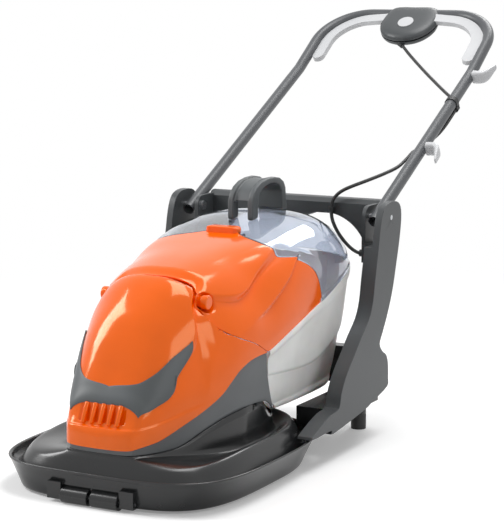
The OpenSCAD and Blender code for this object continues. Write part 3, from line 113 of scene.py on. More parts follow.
# The lid's crease, its second ridge and the bonnet's side edge: millimetres back against degrees.
CREASE = ((215, 48), (240, 43), (254.6, 40.3), (284.8, 37), (318, 39), (363, 43.2), (427, 46.3), (540, 50))
CREASE_WIDE = ((215, 4), (256, 2.9), (285, 2.6), (313, 1.8), (334, 2.6), (378, 3.8), (429, 5.8), (540, 7))
RIDGE = ((215, 15), (333.6, 21.9), (365.7, 24.3), (422.6, 30.3), (463, 36.9), (540, 46))
BONNET = (
    (100, 30), (140, 33), (155, 34.4), (168, 37.5), (174, 42), (177, 46), (184, 51), (198, 55),
    (212, 60),
)
BONNET_REAR = ((40, 214), (59, 207.6), (64, 201), (75, 196), (90, 193))
# The hood's section from the skirt over the rim to the ridge: side and front inset, side and front height.
HOOD = (
    (0.3, 0.4, 0.07, 0.07), (0.22, 0.3, 0.25, 0.25), (0.04, 0.1, 0.62, 0.62), (0, 0, 0.7, 0.7),
    (0.025, 0.06, 0.72, 0.72), (0.06, 0.13, 0.7, 0.7), (0.11, 0.2, 0.58, 0.62), (0.22, 0.36, 0.43, 0.57),
    (0.33, 0.48, 0.6, 0.68), (0.44, 0.6, 0.86, 0.78), (0.57, 0.72, 1, 0.88),
)
# From the ridge in to the collar, over and under: share of the way, side height and front height.
SHELF = ((0.4, 0.9, 0.97), (0.75, 0.79, 1.03), (0.93, 0.84, 1.06))
UNDER_SHELF = ((0.75, 0.73, 0.95), (0.4, 0.84, 0.9))
# The hood's section back out under the ridge, as HOOD has it.
UNDER = (
    (0.57, 0.72, 0.94, 0.82), (0.48, 0.64, 0.86, 0.74), (0.37, 0.52, 0.62, 0.63), (0.3, 0.44, 0.4, 0.5),
    (0.29, 0.42, 0.25, 0.27), (0.34, 0.5, 0.07, 0.07),
)
# Front edge of the grass bin at its rim and at its floor, in millimetres back.
BIN_FRONT, BIN_FLOOR = 334.0, 385.0
# Height of the step in the bin's side against millimetres back.
BIN_STEP = ((334, 178), (374, 175), (492, 169), (548, 176), (609, 196), (732, 250))
# The grass bin's rings from rim to floor: depth share and width share.
BIN = (
    (0, 0.995), (0.06, 0.995), (0.12, 0.97), (0.4, 0.955), (0.75, 0.94), (0.92, 0.92),
    (0.985, 0.89), (1, 0.84),
)
# Outline of the switch box from the middle of its rear to the middle of its front: run along it, then the
# shares of the half width and of the distance.
BOX = (
    (0, 0, 0), (0.22, 0.57, 0), (0.33, 0.82, 0.05), (0.42, 0.94, 0.18), (0.52, 1, 0.39),
    (0.62, 0.985, 0.58), (0.74, 0.82, 0.78), (0.85, 0.54, 0.925), (0.94, 0.22, 0.99), (1, 0, 1),
)
# A cable hook from the leg to its tip: run along it, then out from the leg, along the leg, half width and
# thickness in millimetres.
HOOK = ((0, 9, 0, 14, 17), (0.3, 21, -1, 14, 16), (0.48, 31, 1, 13.5, 14), (0.64, 37.5, 10, 12, 11),
        (0.82, 41.5, 27, 9, 7.5), (1, 46, 46, 5, 3.5))
# The lead's route in millimetres: steps along its way out of the switch box, then across from the leg's
# centre line, along it from the pivot and off it, then across from that line, back from the clip and up from
# the pivot.
LEAD_EXIT = (-4, 12, 27)
LEAD_LEG = (
    (-176, 626, -2), (-144, 594, -8), (-106, 556, -13), (-66, 516, -16), (-38, 488, -17),
    (-19, 470, -17), (-5, 455, -17), (4, 442.5, -15.6), (7.9, 430, -14), (8, 418, -14),
    (8, 390, -14), (7, 360, -15), (3, 330, -16.3), (-5, 300, -16.6), (-13, 273, -14),
    (-18, 255, -10.5), (-20, 240, -7),
)
LEAD_YOKE = (
    (-20, 178, 104.7), (-20, 148, 94), (-21, 108, 82), (-29, 64, 73), (-48, 30, 62.5), (-76, 9, 50),
    (-92, 3, 42), (-104, 1, 33), (-112.5, 0, 22), (-116, 0, 9), (-116, 0, -5), (-113, 0, -20),
    (-104, 0, -38), (-91, 0, -55), (-75, 0, -70), (-59, 0, -79), (-46, 0, -80),
)


def length_value(name, description, mm):
    """Property for a length that is given in millimetres."""
    return bpy.props.FloatProperty(name=name, description=description, default=mm * MM, unit="LENGTH")


def slope_value(name, description, degrees):
    """Property for an angle that is given in degrees."""
    return bpy.props.FloatProperty(
        name=name, description=description, default=math.radians(degrees), unit="ROTATION")


class MowerSizes(bpy.types.PropertyGroup):
    """Sizes of the moulded shells, as the solids have them."""

    body_front: length_value("Body front", "From the roller axle to the cover", 20)
    body_l: length_value("Body length", "From the cover to the lid's back", 712)
    body_w: length_value("Body width", "Widest width of the body", 340)
    body_h: length_value("Body height", "Top of the lid over the ground", 435)
    wall: length_value("Wall", "Wall of the covers", 3)
    hood_w: length_value("Hood width", "Width over the rim", 470)
    hood_mid: length_value("Hood middle", "Roller axle to the widest line", 280)
    hood_front: length_value("Hood front", "Reach before the widest line", 286)
    hood_rear: length_value("Hood rear", "Reach behind the widest line", 250)
    ridge_z: length_value("Ridge", "Height of the hood's ridge", 80)
    lead_d: length_value("Lead", "Diameter of the lead", 7)
    pin_back: length_value("Pin back", "Roller axle to the lid's pivot pins", 215)
    pin_z: length_value("Pin height", "Height of the lid's pivot pins", 324)
    pivot_back: length_value("Pivot back", "Roller axle to the handle's pivot", 705)
    pivot_z: length_value("Pivot height", "Height of the handle's pivot", 424)
    leg_x: length_value("Leg", "Half width between the handle's legs", 206)
    tilt: slope_value("Tilt", "Slope of the legs", 27.6)
    kink: slope_value("Kink", "Extra slope of the grip", 6.7)


class MowerColours(bpy.types.PropertyGroup):
    """Colours of the finishes, as sRGB hex values."""

    orange: bpy.props.StringProperty(name="Orange", description="Covers and latch", default="#F96400")
    dark: bpy.props.StringProperty(name="Dark grey", description="Yoke and switch box", default="#3C3F41")
    hood: bpy.props.StringProperty(name="Hood", description="Hood and rollers", default="#1F2021")
    mid: bpy.props.StringProperty(name="Mid grey", description="Lower body", default="#606365")
    bumper: bpy.props.StringProperty(name="Bumper", description="Bumper trim", default="#4E5254")
    pale: bpy.props.StringProperty(name="Pale grey", description="Levers, hooks, button", default="#C0C1C3")
    bin: bpy.props.StringProperty(name="Bin", description="Grass bin", default="#EEEEEC")
    clear: bpy.props.StringProperty(name="Clear", description="Window of the lid", default="#DFE5F0")


class Millimetres:
    """Reads the mower's lengths in millimetres."""

    def __getattr__(self, name):
        return getattr(bpy.context.scene.mower_sizes, name) / MM


def sizes():
    """Lengths in millimetres."""
    return Millimetres()


def slopes():
    """Angles in radians."""
    return bpy.context.scene.mower_sizes


def colours():
    """Colours as hex values."""
    return bpy.context.scene.mower_colours


# Form of the body


def mix(a, b, t):
    """Value at the share t of the way from a to b."""
    return a + (b - a) * t


def ease(a, b, x):
    """Smooth step from 0 at a to 1 at b."""
    t = max(0.0, min(1.0, (x - a) / (b - a)))
    return t * t * (3 - 2 * t)


def curve_at(table, x, k=1):
    """Smooth curve through a table's column k, read at x and held at its ends."""
    i = 0
    while i < len(table) - 2 and x > table[i + 1][0]:
        i += 1

    def slope(j):
        a, b = max(0, j - 1), min(len(table) - 1, j + 1)
        return (table[b][k] - table[a][k]) / (table[b][0] - table[a][0])

    h = table[i + 1][0] - table[i][0]
    t = max(0.0, min(1.0, (x - table[i][0]) / h))
    return ((2 * t**3 - 3 * t**2 + 1) * table[i][k] + (t**3 - 2 * t**2 + t) * h * slope(i)
            + (3 * t**2 - 2 * t**3) * table[i + 1][k] + (t**3 - t**2) * h * slope(i + 1))


def along(y):
    """Share of the body's length at y, in millimetres back from the roller axle."""
    return (y - sizes().body_front) / sizes().body_l


def half_at(y):
    return sizes().body_w / 2 * curve_at(WIDTH, along(y))


def waist_at(y):
    return sizes().body_h * curve_at(WAIST, along(y))


def top_at(y):
    return sizes().body_h * curve_at(TOP, along(y))


def foot_at(y):
    return sizes().body_h * curve_at(FOOT, along(y))


def radial(angle, n):
    """Radius of a rounded square of power n at an angle."""
    c, s = abs(math.cos(math.radians(angle))), abs(math.sin(math.radians(angle)))
    return (c**n + s**n) ** (-1 / n)


def rise_of(angle):
    """Degrees over the waist on either side."""
    return min(angle, 180 - angle)


def skin(angle, y, off=0.0):
    """Point of the body's skin at an angle over the waist, moved out by off, in millimetres."""
    nose_l, least_w, least_h = 15, 0.5, 0.4
    r = radial(angle, curve_at(SQUARE, along(y)))
    w, h = half_at(y), top_at(y) - waist_at(y)
    nose = 1 - ease(sizes().body_front, sizes().body_front + nose_l, y)
    x = max(w + off * (1 - nose), least_w * w) * r * math.cos(math.radians(angle))
    z = max(h + off, least_h * h) * r * math.sin(math.radians(angle))
    return x, y - off * nose, waist_at(y) + z


def placed(p):
    """Millimetres from the roller axle to metres in the part's frame."""
    return Vector((p[0] * MM, (p[1] - ORIGIN_BACK) * MM, p[2] * MM))


# Mesh helpers


def grid_piece(name, across, along_, place, closed=False):
    """Object from a grid whose points are moved to place(u, v), with u and v from 0 to 1.

    A closed grid has its meeting edges merged.
    """
    bm = bmesh.new()
    bmesh.ops.create_grid(bm, x_segments=across, y_segments=along_, size=1)
    for v in bm.verts:
        v.co = placed(place((v.co.x + 1) / 2, (v.co.y + 1) / 2))
    if closed:
        bmesh.ops.remove_doubles(bm, verts=bm.verts, dist=1e-6)
    return finish_mesh(bm, name)


def finish_mesh(bm, name):
    """Smooth object of that name from a bmesh."""
    for f in bm.faces:
        f.smooth = True
    mesh = bpy.data.meshes.new(name)
    bm.to_mesh(mesh)
    bm.free()
    obj = bpy.data.objects.new(name, mesh)
    bpy.context.scene.collection.objects.link(obj)
    return obj


def thicken(obj, wall, edge=0.6):
    """Gives a shell its wall and rounds its cut edges."""
    m = obj.modifiers.new("wall", "SOLIDIFY")
    m.thickness = wall * MM
    m.offset = -1
    m.use_even_offset = False
    round_edges(obj, edge, 50)


def round_edges(obj, width, angle=32, segments=2):
    """Rounds the edges that turn by more than an angle, in millimetres."""
    b = obj.modifiers.new("edges", "BEVEL")
    b.width = width * MM
    b.segments = segments
    b.limit_method = "ANGLE"
    b.angle_limit = math.radians(angle)
    b.harden_normals = False


def settle(obj, body, finish, slot, *nodes):
    """Gives a piece its finish, its body and the nodes that it stands for."""
    obj.data.materials.clear()
    obj.data.materials.append(finish)
    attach(obj, body)
    if nodes:
        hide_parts(*nodes)


# Finishes


def linear(code):
    """sRGB hex to linear colour with alpha."""
    parts = [int(code[i:i + 2], 16) / 255 for i in (1, 3, 5)]
    return tuple(c / 12.92 if c <= 0.04045 else ((c + 0.055) / 1.055) ** 2.4 for c in parts) + (1.0,)


def add(tree, kind, settings=None, inputs=None, links=None):
    """Adds a node with its settings, socket values and incoming links."""
    n = tree.nodes.new(kind)
    for k, v in (settings or {}).items():
        setattr(n, k, v)
    for k, v in (inputs or {}).items():
        n.inputs[k].default_value = v
    for k, source in (links or {}).items():
        tree.links.new(source, n.inputs[k])
    return n


def finish_of(name, shader, tint, rough, grain_mm, bump_mm, cloud_mm=60.0):
    """Material with a cloudy tint, a fine grain in its roughness and a matching bump.

    tint is two hex values, rough two roughnesses, grain_mm the grain's spacing and bump_mm its height.
    """
    m = bpy.data.materials.new(name)
    m.use_nodes = True
    t = m.node_tree
    t.nodes.clear()
    place = add(t, "ShaderNodeTexCoord")
    cloud = add(t, "ShaderNodeTexNoise", {}, {"Scale": 1 / (cloud_mm * MM), "Detail": 3.0, "Roughness": 0.5},
                {"Vector": place.outputs["Object"]})
    grain = add(t, "ShaderNodeTexNoise", {}, {"Scale": 1 / (grain_mm * MM), "Detail": 2.0, "Roughness": 0.6},
                {"Vector": place.outputs["Object"]})
    ramp = add(t, "ShaderNodeValToRGB", {}, {}, {"Fac": cloud.outputs["Fac"]})
    ramp.color_ramp.elements[0].position = 0.3
    ramp.color_ramp.elements[1].position = 0.7
    ramp.color_ramp.elements[0].color = linear(tint[0])
    ramp.color_ramp.elements[1].color = linear(tint[1])
    sheen = add(t, "ShaderNodeMapRange", {},
                {"From Min": 0.3, "From Max": 0.7, "To Min": rough[0], "To Max": rough[1]},
                {"Value": grain.outputs["Fac"]})
    bump = add(t, "ShaderNodeBump", {}, {"Strength": 0.5, "Distance": bump_mm * MM},
               {"Height": grain.outputs["Fac"]})
    body = add(t, "ShaderNodeBsdfPrincipled", {}, shader,
               {"Base Color": ramp.outputs["Color"], "Roughness": sheen.outputs["Result"],
                "Normal": bump.outputs["Normal"]})
    add(t, "ShaderNodeOutputMaterial", {}, {}, {"Surface": body.outputs["BSDF"]})
    return m


def shade(code, k):
    """Hex value made darker or lighter by the factor k."""
    return "#" + "".join(f"{max(0, min(255, round(int(code[i:i + 2], 16) * k))):02X}" for i in (1, 3, 5))


def tones(code, low, high):
    """Darker and lighter tone of a hex value."""
    return shade(code, low), shade(code, high)


def finish(name):
    """The finish of that name, made once."""
    known = bpy.data.materials.get(name)
    if known:
        return known
    c = colours()
    recipes = {
        # Gloss ABS: pigmented and polished in the mould, so it reflects the room with a trace of orange peel.
        "gloss_abs_orange": (
            {"IOR": 1.54, "Specular Tint": linear("#FFDDAA"), "Coat Weight": 0.1, "Coat Roughness": 0.05},
            tones(c.orange, 0.985, 1.01), (0.1, 0.14), 3.0, 0.004),
        # Satin polypropylene from a spark-eroded mould: soft broad highlights. Its grain is drawn at 1.6 to
        # 2 mm, coarser than real, so that it shows.
        "satin_pp_dark": ({"IOR": 1.49}, tones(c.dark, 0.98, 1.02), (0.39, 0.41), 1.6, 0.012),
        "satin_pp_hood": ({"IOR": 1.49}, tones(c.hood, 0.98, 1.02), (0.22, 0.24), 2.0, 0.006),
        "satin_pp_mid": ({"IOR": 1.49}, tones(c.mid, 0.97, 1.03), (0.43, 0.45), 1.6, 0.012),
        "satin_pp_bumper": ({"IOR": 1.49}, tones(c.bumper, 0.97, 1.03), (0.45, 0.47), 1.6, 0.012),
        # Pale moulded ABS, light grey, with a soft sheen and a grain that is drawn coarser than real.
        "satin_abs_pale": ({"IOR": 1.52}, tones(c.pale, 0.98, 1.01), (0.36, 0.37), 1.8, 0.004),
        # Milky polypropylene of the bin: light goes a little way in, and its cloudiness is uneven.
        "milky_pp_bin": (
            {"IOR": 1.49, "Subsurface Weight": 0.15, "Subsurface Scale": 0.01},
            tones(c.bin, 0.95, 1.03), (0.4, 0.42), 1.6, 0.02, 90),
        # Clear SAN, polished in the mould: glass-like, with a faint blue cast from its thickness.
        "clear_san": (
            {"IOR": 1.57, "Transmission Weight": 1.0}, tones(c.clear, 0.98, 1.02), (0.02, 0.04), 6.0, 0.004),
        # Moulded black polypropylene: dull, with a fine grain that is drawn coarser than real.
        "black_pp": ({"IOR": 1.49}, ("#1D1E1F", "#262728"), (0.46, 0.5), 1.1, 0.03),
        # Powder-coated steel tube: an even satin grey with a slight pebbled skin.
        "powder_coat_grey": ({"IOR": 1.5}, ("#494B4E", "#4D4F52"), (0.36, 0.37), 2.0, 0.003),
        # Zinc-plated steel: bright, with uneven gloss where the plating is thin.
        "zinc_steel": ({"Metallic": 1.0}, ("#B4B7BB", "#C8CACC"), (0.22, 0.38), 1.2, 0.02),
        # Die-cast alloy: a dull metal with the slight unevenness of its casting skin.
        "cast_alloy": ({"Metallic": 1.0}, ("#A3A5A8", "#B8BABD"), (0.4, 0.6), 1.6, 0.08),
        # Black rubber of the lead, belt and feet: nearly matt, with a fine bloom.
        "black_rubber": ({"IOR": 1.52}, ("#161616", "#202020"), (0.5, 0.65), 1.2, 0.05),
    }
    if name not in recipes:
        raise RuntimeError(f"no finish is named {name}")
    return finish_of(name, *recipes[name])


FINISH_OF_NODE = {
    "satin_pp_dark": ("yoke_arm_left", "yoke_arm_right", "crossbar", "switch_box_upper", "switch_box_lower"),
    "satin_pp_hood": ("hood", "roller_carrier", "roller_left", "roller_right", "rear_frame"),
    "satin_pp_mid": ("lower_body", "lift_fan"),
    "satin_pp_bumper": ("bumper", "carry_handle"),
    "gloss_abs_orange": ("motor_cover", "lid_front", "latch", "pivot_pins"),
    "clear_san": ("lid_window",),
    "milky_pp_bin": ("grass_bin",),
    "satin_abs_pale": ("lever_left", "lever_right", "lock_button", "hook_upper", "hook_lower"),
    "black_pp": ("base_plate", "blade_spacer", "driven_pulley", "motor_pulley", "brush_holders", "grass_duct",
                 "latch_seat", "microswitch", "lead_tie", "crossbar_clip", "yoke_gland", "box_gland"),
    "powder_coat_grey": ("upper_handle",),
    "zinc_steel": ("roller_axle", "spindle", "cutting_blade", "blade_bolt", "spindle_bearings",
                   "motor_bearings", "housing_screws", "armature", "stator", "motor_can", "latch_spring",
                   "button_spring", "pivot_bolts", "lever_pins"),
    "cast_alloy": ("spindle_housing", "motor_bracket"),
    "black_rubber": ("rear_feet", "drive_belt", "lead_upper", "lead_lower"),
}
# Rounding of the edges of nodes that stay as solids, in millimetres.
ROUNDED = {
    "yoke_arm_left": 6, "yoke_arm_right": 6, "crossbar": 4, "rear_frame": 4, "carry_handle": 3.4, "latch": 8,
    "lock_button": 1.6, "lever_left": 5.2, "lever_right": 5.2, "roller_left": 1.2, "roller_right": 1.2,
    "roller_carrier": 1.5, "rear_feet": 2, "upper_handle": 0.4,
}


class MOWER_OT_solids(bpy.types.Operator):
    """Gives every solid its finish and rounds the edges of some that stay."""

    bl_idname = "mower.solids"
    bl_label = "Finish the solids"

    def execute(self, context):
        for name, nodes in FINISH_OF_NODE.items():
            for node in nodes:
                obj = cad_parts[node]
                for k in range(max(1, len(obj.material_slots))):
                    if not obj.material_slots:
                        obj.data.materials.append(finish(name))
                    obj.material_slots[k].material = finish(name)
        for node, width in ROUNDED.items():
            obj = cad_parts[node]
            weld = obj.modifiers.new("weld", "WELD")
            weld.merge_threshold = 1e-5
            round_edges(obj, width, 32, 4)
            even = obj.modifiers.new("normals", "WEIGHTED_NORMAL")
            even.keep_sharp = False
        return {"FINISHED"}


def cover_recess(angle, y):
    """Valley beside the bonnet and the lip under the lid, in millimetres inward."""
    a = rise_of(angle)
    start = curve_at(LID_START, a)
    edge = curve_at(BONNET, y)
    front_depth, rear_depth, lip_depth = 8, 14, 13
    depth = mix(front_depth, rear_depth, ease(172, 198, y)) * ease(124, 198, y)
    outside = ease(0, 1, max((edge - a) / 5.0, (y - curve_at(BONNET_REAR, a)) / 7.0))
    level = 1 - ease(start - 42, start, y) * ease(52, 33, a)
    lip = lip_depth * ease(start - 2.6, start - 0.6, y) * ease(22, 27, a)
    return -max(depth * outside * ease(edge - 36, edge - 4, a) * level, lip)


def knob_pocket(p):
    """Point of the cover or the lid, moved in round the pivot knob."""
    floor_r, rim_r, floor_x = 14, 19, 89
    near = 1 - ease(floor_r, rim_r, math.hypot(p[1] - sizes().pin_back, p[2] - sizes().pin_z))
    return math.copysign(mix(abs(p[0]), min(abs(p[0]), floor_x), near), p[0]), p[1], p[2]


def cover_band(angle, y):
    """Proud band along the cover's foot less the pocket of the vents, in millimetres."""
    x, _, z = skin(angle, y)
    band_h, pocket_depth = 2.0, 7.0
    sill = mix(131, 158, ease(20, 190, y))
    pocket = ease(47, 44, abs(x)) * ease(138, 143, z) * ease(170, 164, z) * ease(70, 60, y)
    return band_h * ease(sill + 3, sill - 3, z) * ease(190, 90, y) - pocket_depth * pocket


class MOWER_OT_motor_cover(bpy.types.Operator):
    """Orange motor cover with its bonnet and the pocket of its vents."""

    bl_idname = "mower.motor_cover"
    bl_label = "Motor cover"

    def execute(self, context):
        s = sizes()
        # The gap to the lid, and how closely the rows of the grid stand at the nose.
        seam, crowd = 0.7, 1.7

        def place(u, v):
            angle = 180 * (1 - u)
            end = curve_at(COVER_END, rise_of(angle)) - seam
            y = mix(s.body_front, end, v**crowd)
            return knob_pocket(skin(angle, y, cover_recess(angle, y) + cover_band(angle, y)))

        shell = grid_piece("motor_cover_shell", 260, 200, place)
        thicken(shell, s.wall)
        settle(shell, "deck", finish("gloss_abs_orange"), "orange_plastic", "motor_cover")
        return {"FINISHED"}


class MOWER_OT_vent_ribs(bpy.types.Operator):
    """Five round ribs across the vents under the bumper."""

    bl_idname = "mower.vent_ribs"
    bl_label = "Vent ribs"

    def execute(self, context):
        count, pitch = 5, 17.0
        foot_back, foot_z, head_back, head_z = 27, 136, 44, 168
        foot_r, head_r, rim_r = 3.6 * MM, 4.6 * MM, 1.6 * MM
        bm = bmesh.new()
        for k in range(count):
            x = (k - (count - 1) / 2) * pitch
            low, high = placed((x, foot_back, foot_z)), placed((x, head_back, head_z))
            way = high - low
            turn = Vector((0, 0, 1)).rotation_difference(way).to_matrix().to_4x4()
            made = bmesh.ops.create_cone(bm, cap_ends=True, segments=24, radius1=foot_r, radius2=head_r,
                                         depth=way.length, matrix=Matrix.Translation((low + high) / 2) @ turn)
            rims = {e for v in made["verts"] for e in v.link_edges
                    if len(e.link_faces) == 2 and e.calc_face_angle(0) > 1}
            bmesh.ops.bevel(bm, geom=list(rims), offset=rim_r, segments=3, profile=0.5, affect="EDGES",
                            material=-1)
        ribs = finish_mesh(bm, "vent_ribs")
        settle(ribs, "deck", finish("gloss_abs_orange"), "orange_plastic")
        return {"FINISHED"}


def lid_recess(angle, y):
    """Two scoops beside the lid's raised middle, in millimetres inward."""
    a = rise_of(angle)
    second_from, ridge_wide = 5, 2.2
    crease, wide, ridge = curve_at(CREASE, y), curve_at(CREASE_WIDE, y), curve_at(RIDGE, y)
    wall = 1 - ease(crease - 0.5, crease + wide, a)
    first = wall * max(0.0, min(1.0, (a - ridge) / (crease - ridge))) ** 1.3
    if a < ridge:
        second = max(0.0, min(1.0, (a - second_from) / (ridge - second_from))) ** 1.6
    else:
        second = 1 - ease(ridge, ridge + ridge_wide, a)
    first_depth = mix(8.5, 10.5, ease(235, 300, y))
    second_depth = 7.5 * ease(290, 370, y)
    return -first_depth * first - second_depth * second


class MOWER_OT_pivot_knobs(bpy.types.Operator):
    """Pivot pins of the lid with their round knobs."""

    bl_idname = "mower.pivot_knobs"
    bl_label = "Pivot knobs"

    def execute(self, context):
        s = sizes()
        # From the pin's inner end to the knob's face: out from the mower's middle and radius, in millimetres.
        profile = (
            (72, 0), (72, 11), (95, 11), (95.5, 11.2), (96, 12.3), (96.6, 12.6), (97.5, 12.6), (106, 12.6),
            (106.9, 12.5), (107.7, 12), (108.2, 11.2), (108.4, 10.2), (108.4, 9.2), (108.4, 0),
        )
        bm = bmesh.new()
        for side in (-1, 1):
            verts = [bm.verts.new(placed((side * x, s.pin_back + r, s.pin_z))) for x, r in profile]
            edges = [bm.edges.new(pair) for pair in zip(verts, verts[1:])]
            bmesh.ops.spin(bm, geom=verts + edges, cent=placed((0, s.pin_back, s.pin_z)), axis=(1, 0, 0),
                           angle=2 * math.pi, steps=40, use_merge=True)
        bmesh.ops.remove_doubles(bm, verts=bm.verts, dist=1e-6)
        bmesh.ops.recalc_face_normals(bm, faces=bm.faces)
        knobs = finish_mesh(bm, "pivot_knobs")
        settle(knobs, "deck", finish("gloss_abs_orange"), "orange_plastic", "pivot_pins")
        return {"FINISHED"}


class MOWER_OT_lid_front(bpy.types.Operator):
    """Orange front of the collector's lid with its raised middle and two scoops a side."""

    bl_idname = "mower.lid_front"
    bl_label = "Front of the lid"

    def execute(self, context):
        s = sizes()
        curl_drop, curl_l = 7, 24

        def place(u, v):
            angle = 180 * (1 - u)
            a = rise_of(angle)
            start = curve_at(LID_START, a)
            y = mix(start, curve_at(WINDOW_START, a), v**1.25)
            curl = curl_drop * (1 - ease(0, curl_l, y - start)) * ease(51, 59, a)
            return knob_pocket(skin(angle, y, lid_recess(angle, y) - curl))

        shell = grid_piece("lid_front_shell", 320, 180, place)
        thicken(shell, s.wall)
        settle(shell, "collector", finish("gloss_abs_orange"), "orange_plastic", "lid_front")
        return {"FINISHED"}


class MOWER_OT_lid_window(bpy.types.Operator):
    """Clear rear of the lid with the rolled rim that sits on the bin."""

    bl_idname = "mower.lid_window"
    bl_label = "Window of the lid"

    def execute(self, context):
        s = sizes()
        last = s.body_front + s.body_l
        seam, fade_l, bead_h = 0.4, 30, 2.2

        def place(u, v):
            angle = 180 * (1 - u)
            start = curve_at(WINDOW_START, rise_of(angle))
            y = mix(start + seam, last, 1 - (1 - v) ** 1.6)
            fade = ease(0, fade_l, y - start)
            bead = bead_h * ease(4, 2, rise_of(angle))
            return skin(angle, y, lid_recess(angle, y) * (1 - fade) + bead)

        shell = grid_piece("lid_window_shell", 200, 90, place)
        thicken(shell, s.wall)
        settle(shell, "collector", finish("clear_san"), "clear_plastic", "lid_window")
        return {"FINISHED"}


class MOWER_OT_bumper(bpy.types.Operator):
    """Grey bumper trim that sweeps up into a horn on each side of the nose."""

    bl_idname = "mower.bumper"
    bl_label = "Bumper trim"

    def execute(self, context):
        proud, edge_drop = 3.4, 1.4

        def place(u, v):
            k = 1 - 2 * u
            run = abs(k)
            y = mix(curve_at(BUMPER_LOW, run, 1), curve_at(BUMPER_HIGH, run, 1), 1 - v)
            a = mix(curve_at(BUMPER_LOW, run, 2), curve_at(BUMPER_HIGH, run, 2), 1 - v)
            angle = a if k > 0 else 180 - a
            return skin(angle, y, cover_recess(angle, y) + proud - edge_drop * abs(2 * v - 1) ** 4)

        trim = grid_piece("bumper_trim", 180, 16, place)
        thicken(trim, 2.6, 0.8)
        settle(trim, "deck", finish("satin_pp_bumper"), "dark_plastic", "bumper")
        return {"FINISHED"}


# Form of the hood


def hood_xy(angle, side, front, rear):
    """Point of the hood's outline seen from above, moved in by side, front and rear."""
    s = sizes()
    c = math.sin(math.radians(angle))
    front_power, rear_power = 4.0, 2.6
    r = radial(angle, front_power if c < 0 else rear_power)
    reach = s.hood_front - front if c < 0 else s.hood_rear - rear
    return (s.hood_w / 2 - side) * r * math.cos(math.radians(angle)), s.hood_mid + reach * r * c


def hood_section():
    """Rings of the hood from the outer skirt to the inner one, as functions of the angle round it."""
    s = sizes()
    shelf_w, shelf_front, shelf_rear = 80.0, 30.0, 60.0
    # Offsets of the collar's two faces from the body, and where its front begins.
    outside, inside, front_from = 1.25, -3.75, -0.7

    def fore(t):
        return ease(0.25, 0.85, -math.sin(math.radians(t)))

    def rim(k):
        def at(t):
            x, y = hood_xy(t, k[0] * shelf_w, k[1] * shelf_front, k[0] * shelf_rear)
            return x, y, s.ridge_z * mix(k[2], k[3], fore(t))
        return at

    def collar_xy(t, off):
        x, y = hood_xy(t, shelf_w, shelf_front, shelf_rear)
        return math.copysign(min(abs(x), half_at(y) + off), x), y

    def shelf(k):
        def at(t):
            x, y, _ = rim(HOOD[-1])(t)
            cx, cy = collar_xy(t, outside)
            return mix(x, cx, k[0]), mix(y, cy, k[0]), s.ridge_z * mix(k[1], k[2], fore(t))
        return at

    def collar(off, low):
        def at(t):
            x, y = collar_xy(t, off)
            back = outside - off if math.sin(math.radians(t)) < front_from else 0
            return x, y + back, foot_at(y) if low is None else low
        return at

    over = [rim(k) for k in HOOD] + [shelf(k) for k in SHELF]
    edge = [collar(outside, None), collar(inside, None), collar(inside, s.ridge_z * SHELF[1][1])]
    return over + edge + [shelf(k) for k in UNDER_SHELF] + [rim(k) for k in UNDER]


class MOWER_OT_hood(bpy.types.Operator):
    """Moulded hood with its rolled rim, ridge and collar."""

    bl_idname = "mower.hood"
    bl_label = "Hood"

    def execute(self, context):
        rings = hood_section()
        count = len(rings)
        # Slope of the curves from ring to ring, as a share of the chord, and the most of a step it may be.
        tight, most = 0.5, 1.2

        def place(u, v):
            t = 360 * u
            pos = v * count
            i = int(pos) % count
            f = pos - int(pos)
            p = [rings[(i + k) % count](t) for k in (-1, 0, 1, 2)]
            out = []
            for a, b, c, d in zip(*p):
                m0, m1 = tight * (c - a), tight * (d - b)
                lim = most * abs(c - b)
                m0, m1 = max(-lim, min(lim, m0)), max(-lim, min(lim, m1))
                out.append((2 * f**3 - 3 * f**2 + 1) * b + (f**3 - 2 * f**2 + f) * m0
                           + (3 * f**2 - 2 * f**3) * c + (f**3 - f**2) * m1)
            return out

        hood = grid_piece("hood_shell", 216, count * 4, place, closed=True)
        settle(hood, "deck", finish("satin_pp_hood"), "dark_plastic", "hood")
        return {"FINISHED"}


class MOWER_OT_lower_body(bpy.types.Operator):
    """Grey wall between the hood's collar and the orange cover."""

    bl_idname = "mower.lower_body"
    bl_label = "Lower body"

    def execute(self, context):
        s = sizes()
        inset, bin_gap = 2.5, 6
        # Share and power of the rear edge's lean, spacing of the columns and how fast the nose opens out.
        lean, lean_power, crowd, nose_rate = 0.7, 2.6, 1.6, 400

        def place(u, v):
            k = 2 * u - 1
            end = mix(BIN_FRONT, BIN_FLOOR, (lean * (1 - v)) ** lean_power) - bin_gap
            y = mix(s.body_front, end, abs(k) ** crowd)
            w = max(half_at(y) - inset, half_at(y) / 2)
            z = mix(foot_at(y), waist_at(y), v)
            return math.copysign(w, k) * min(1, abs(k) * nose_rate), y + inset, z

        wall = grid_piece("lower_body_wall", 200, 12, place)
        thicken(wall, s.wall)
        settle(wall, "deck", finish("satin_pp_mid"), "grey_plastic", "lower_body")
        return {"FINISHED"}


